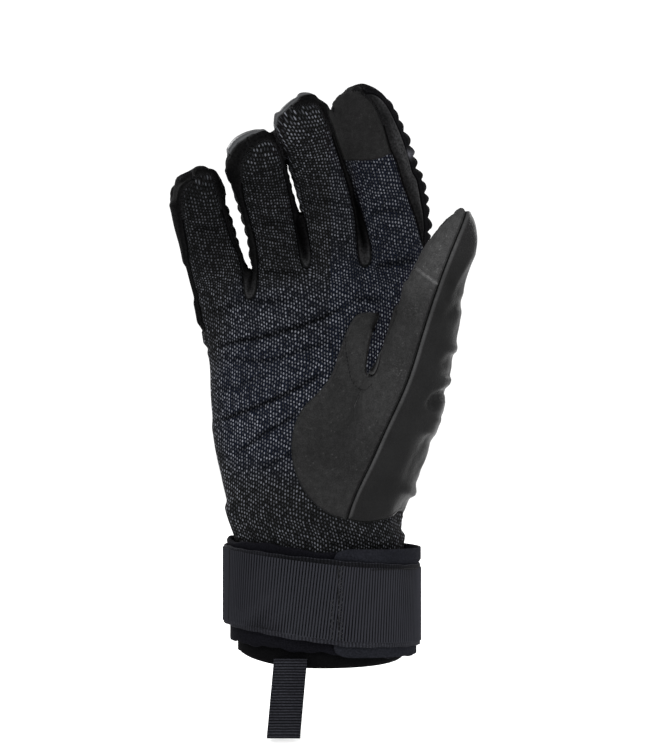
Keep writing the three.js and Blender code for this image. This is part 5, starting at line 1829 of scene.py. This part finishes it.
class GLOVE_OT_stage(GloveOperator):
    """Make the floor, the lights and the camera"""
    bl_idname = "glove.stage"
    bl_label = "Stage"

    def build(self, s):
        scene = bpy.context.scene
        mesh = bpy.data.meshes.new("floor")
        spread, low = 3.0, CAD_BOX[0][2] - 0.001
        corners = [(-spread, -spread, low), (spread, -spread, low), (spread, spread, low), (-spread, spread, low)]
        mesh.from_pydata(corners, [], [(0, 1, 2, 3)])
        floor = bpy.data.objects.new("floor", mesh)
        scene.collection.objects.link(floor)
        made, tree = material("floor", Specular_IOR_Level=0.1)
        spot = tree.spot()
        shade = tree.ramp(tree.noise(spot, 0.4, 2.0), 0.3, 0.7, 0.98, 1.0)
        dress(tree, tree.scaled(tuple(scene.glove_colours.floor), shade), 0.9, tree.noise(spot, 0.002), 0.1, 0.0001)
        mesh.materials.append(made)

        world = bpy.data.worlds.new("studio")
        scene.world = world
        world.use_nodes = True
        background = world.node_tree.nodes["Background"]
        background.inputs[0].default_value = (1, 1, 1, 1)
        background.inputs[1].default_value = WORLD_STRENGTH
        scene.view_settings.view_transform = "Standard"

        middle = Vector((0, 0, 0.1))
        for name, place, power, size in LIGHTS:
            light = bpy.data.objects.new(name, bpy.data.lights.new(name, "AREA"))
            light.data.energy, light.data.size = power, size
            light.location = place
            light.rotation_euler = (middle - Vector(place)).to_track_quat("-Z", "Y").to_euler()
            scene.collection.objects.link(light)

        camera = bpy.data.objects.new("camera", bpy.data.cameras.new("camera"))
        camera.location = (VIEW_X * MM, -VIEW_FAR * MM, VIEW_Z * MM)
        camera.rotation_euler = (math.pi / 2, 0, 0)
        camera.data.sensor_fit = "VERTICAL"
        camera.data.sensor_height = camera.data.sensor_width = SENSOR
        camera.data.lens = SENSOR * VIEW_FAR / (2 * VIEW_MIDDLE[1] * VIEW_STEP)
        scene.collection.objects.link(camera)
        scene.camera = camera


class GLOVE_PT_panel(bpy.types.Panel):
    """Sizes, colours and pieces of the glove"""
    bl_label = "Water ski glove"
    bl_idname = "GLOVE_PT_panel"
    bl_space_type = "VIEW_3D"
    bl_region_type = "UI"
    bl_category = "Glove"

    def draw(self, context):
        layout = self.layout
        for name, _, _ in SIZES:
            layout.prop(context.scene.glove_sizes, name)
        for name, _, _ in COLOURS:
            layout.prop(context.scene.glove_colours, name)
        for operator in OPERATORS:
            layout.operator(operator.bl_idname)


OPERATORS = (GLOVE_OT_palm, GLOVE_OT_back, GLOVE_OT_strips, GLOVE_OT_tips, GLOVE_OT_thumb, GLOVE_OT_cuff,
             GLOVE_OT_tab, GLOVE_OT_strap, GLOVE_OT_pull, GLOVE_OT_stitches, GLOVE_OT_stage)
CLASSES = (GloveSizes, GloveColours, *OPERATORS, GLOVE_PT_panel)


def register():
    for made in CLASSES:
        bpy.utils.register_class(made)
    bpy.types.Scene.glove_sizes = bpy.props.PointerProperty(type=GloveSizes)
    bpy.types.Scene.glove_colours = bpy.props.PointerProperty(type=GloveColours)


def unregister():
    del bpy.types.Scene.glove_sizes
    del bpy.types.Scene.glove_colours
    for made in reversed(CLASSES):
        bpy.utils.unregister_class(made)


def main():
    register()
    for operator in OPERATORS:
        getattr(bpy.ops.glove, operator.bl_idname.split(".")[1])()


if __name__ == "__main__":
    main()
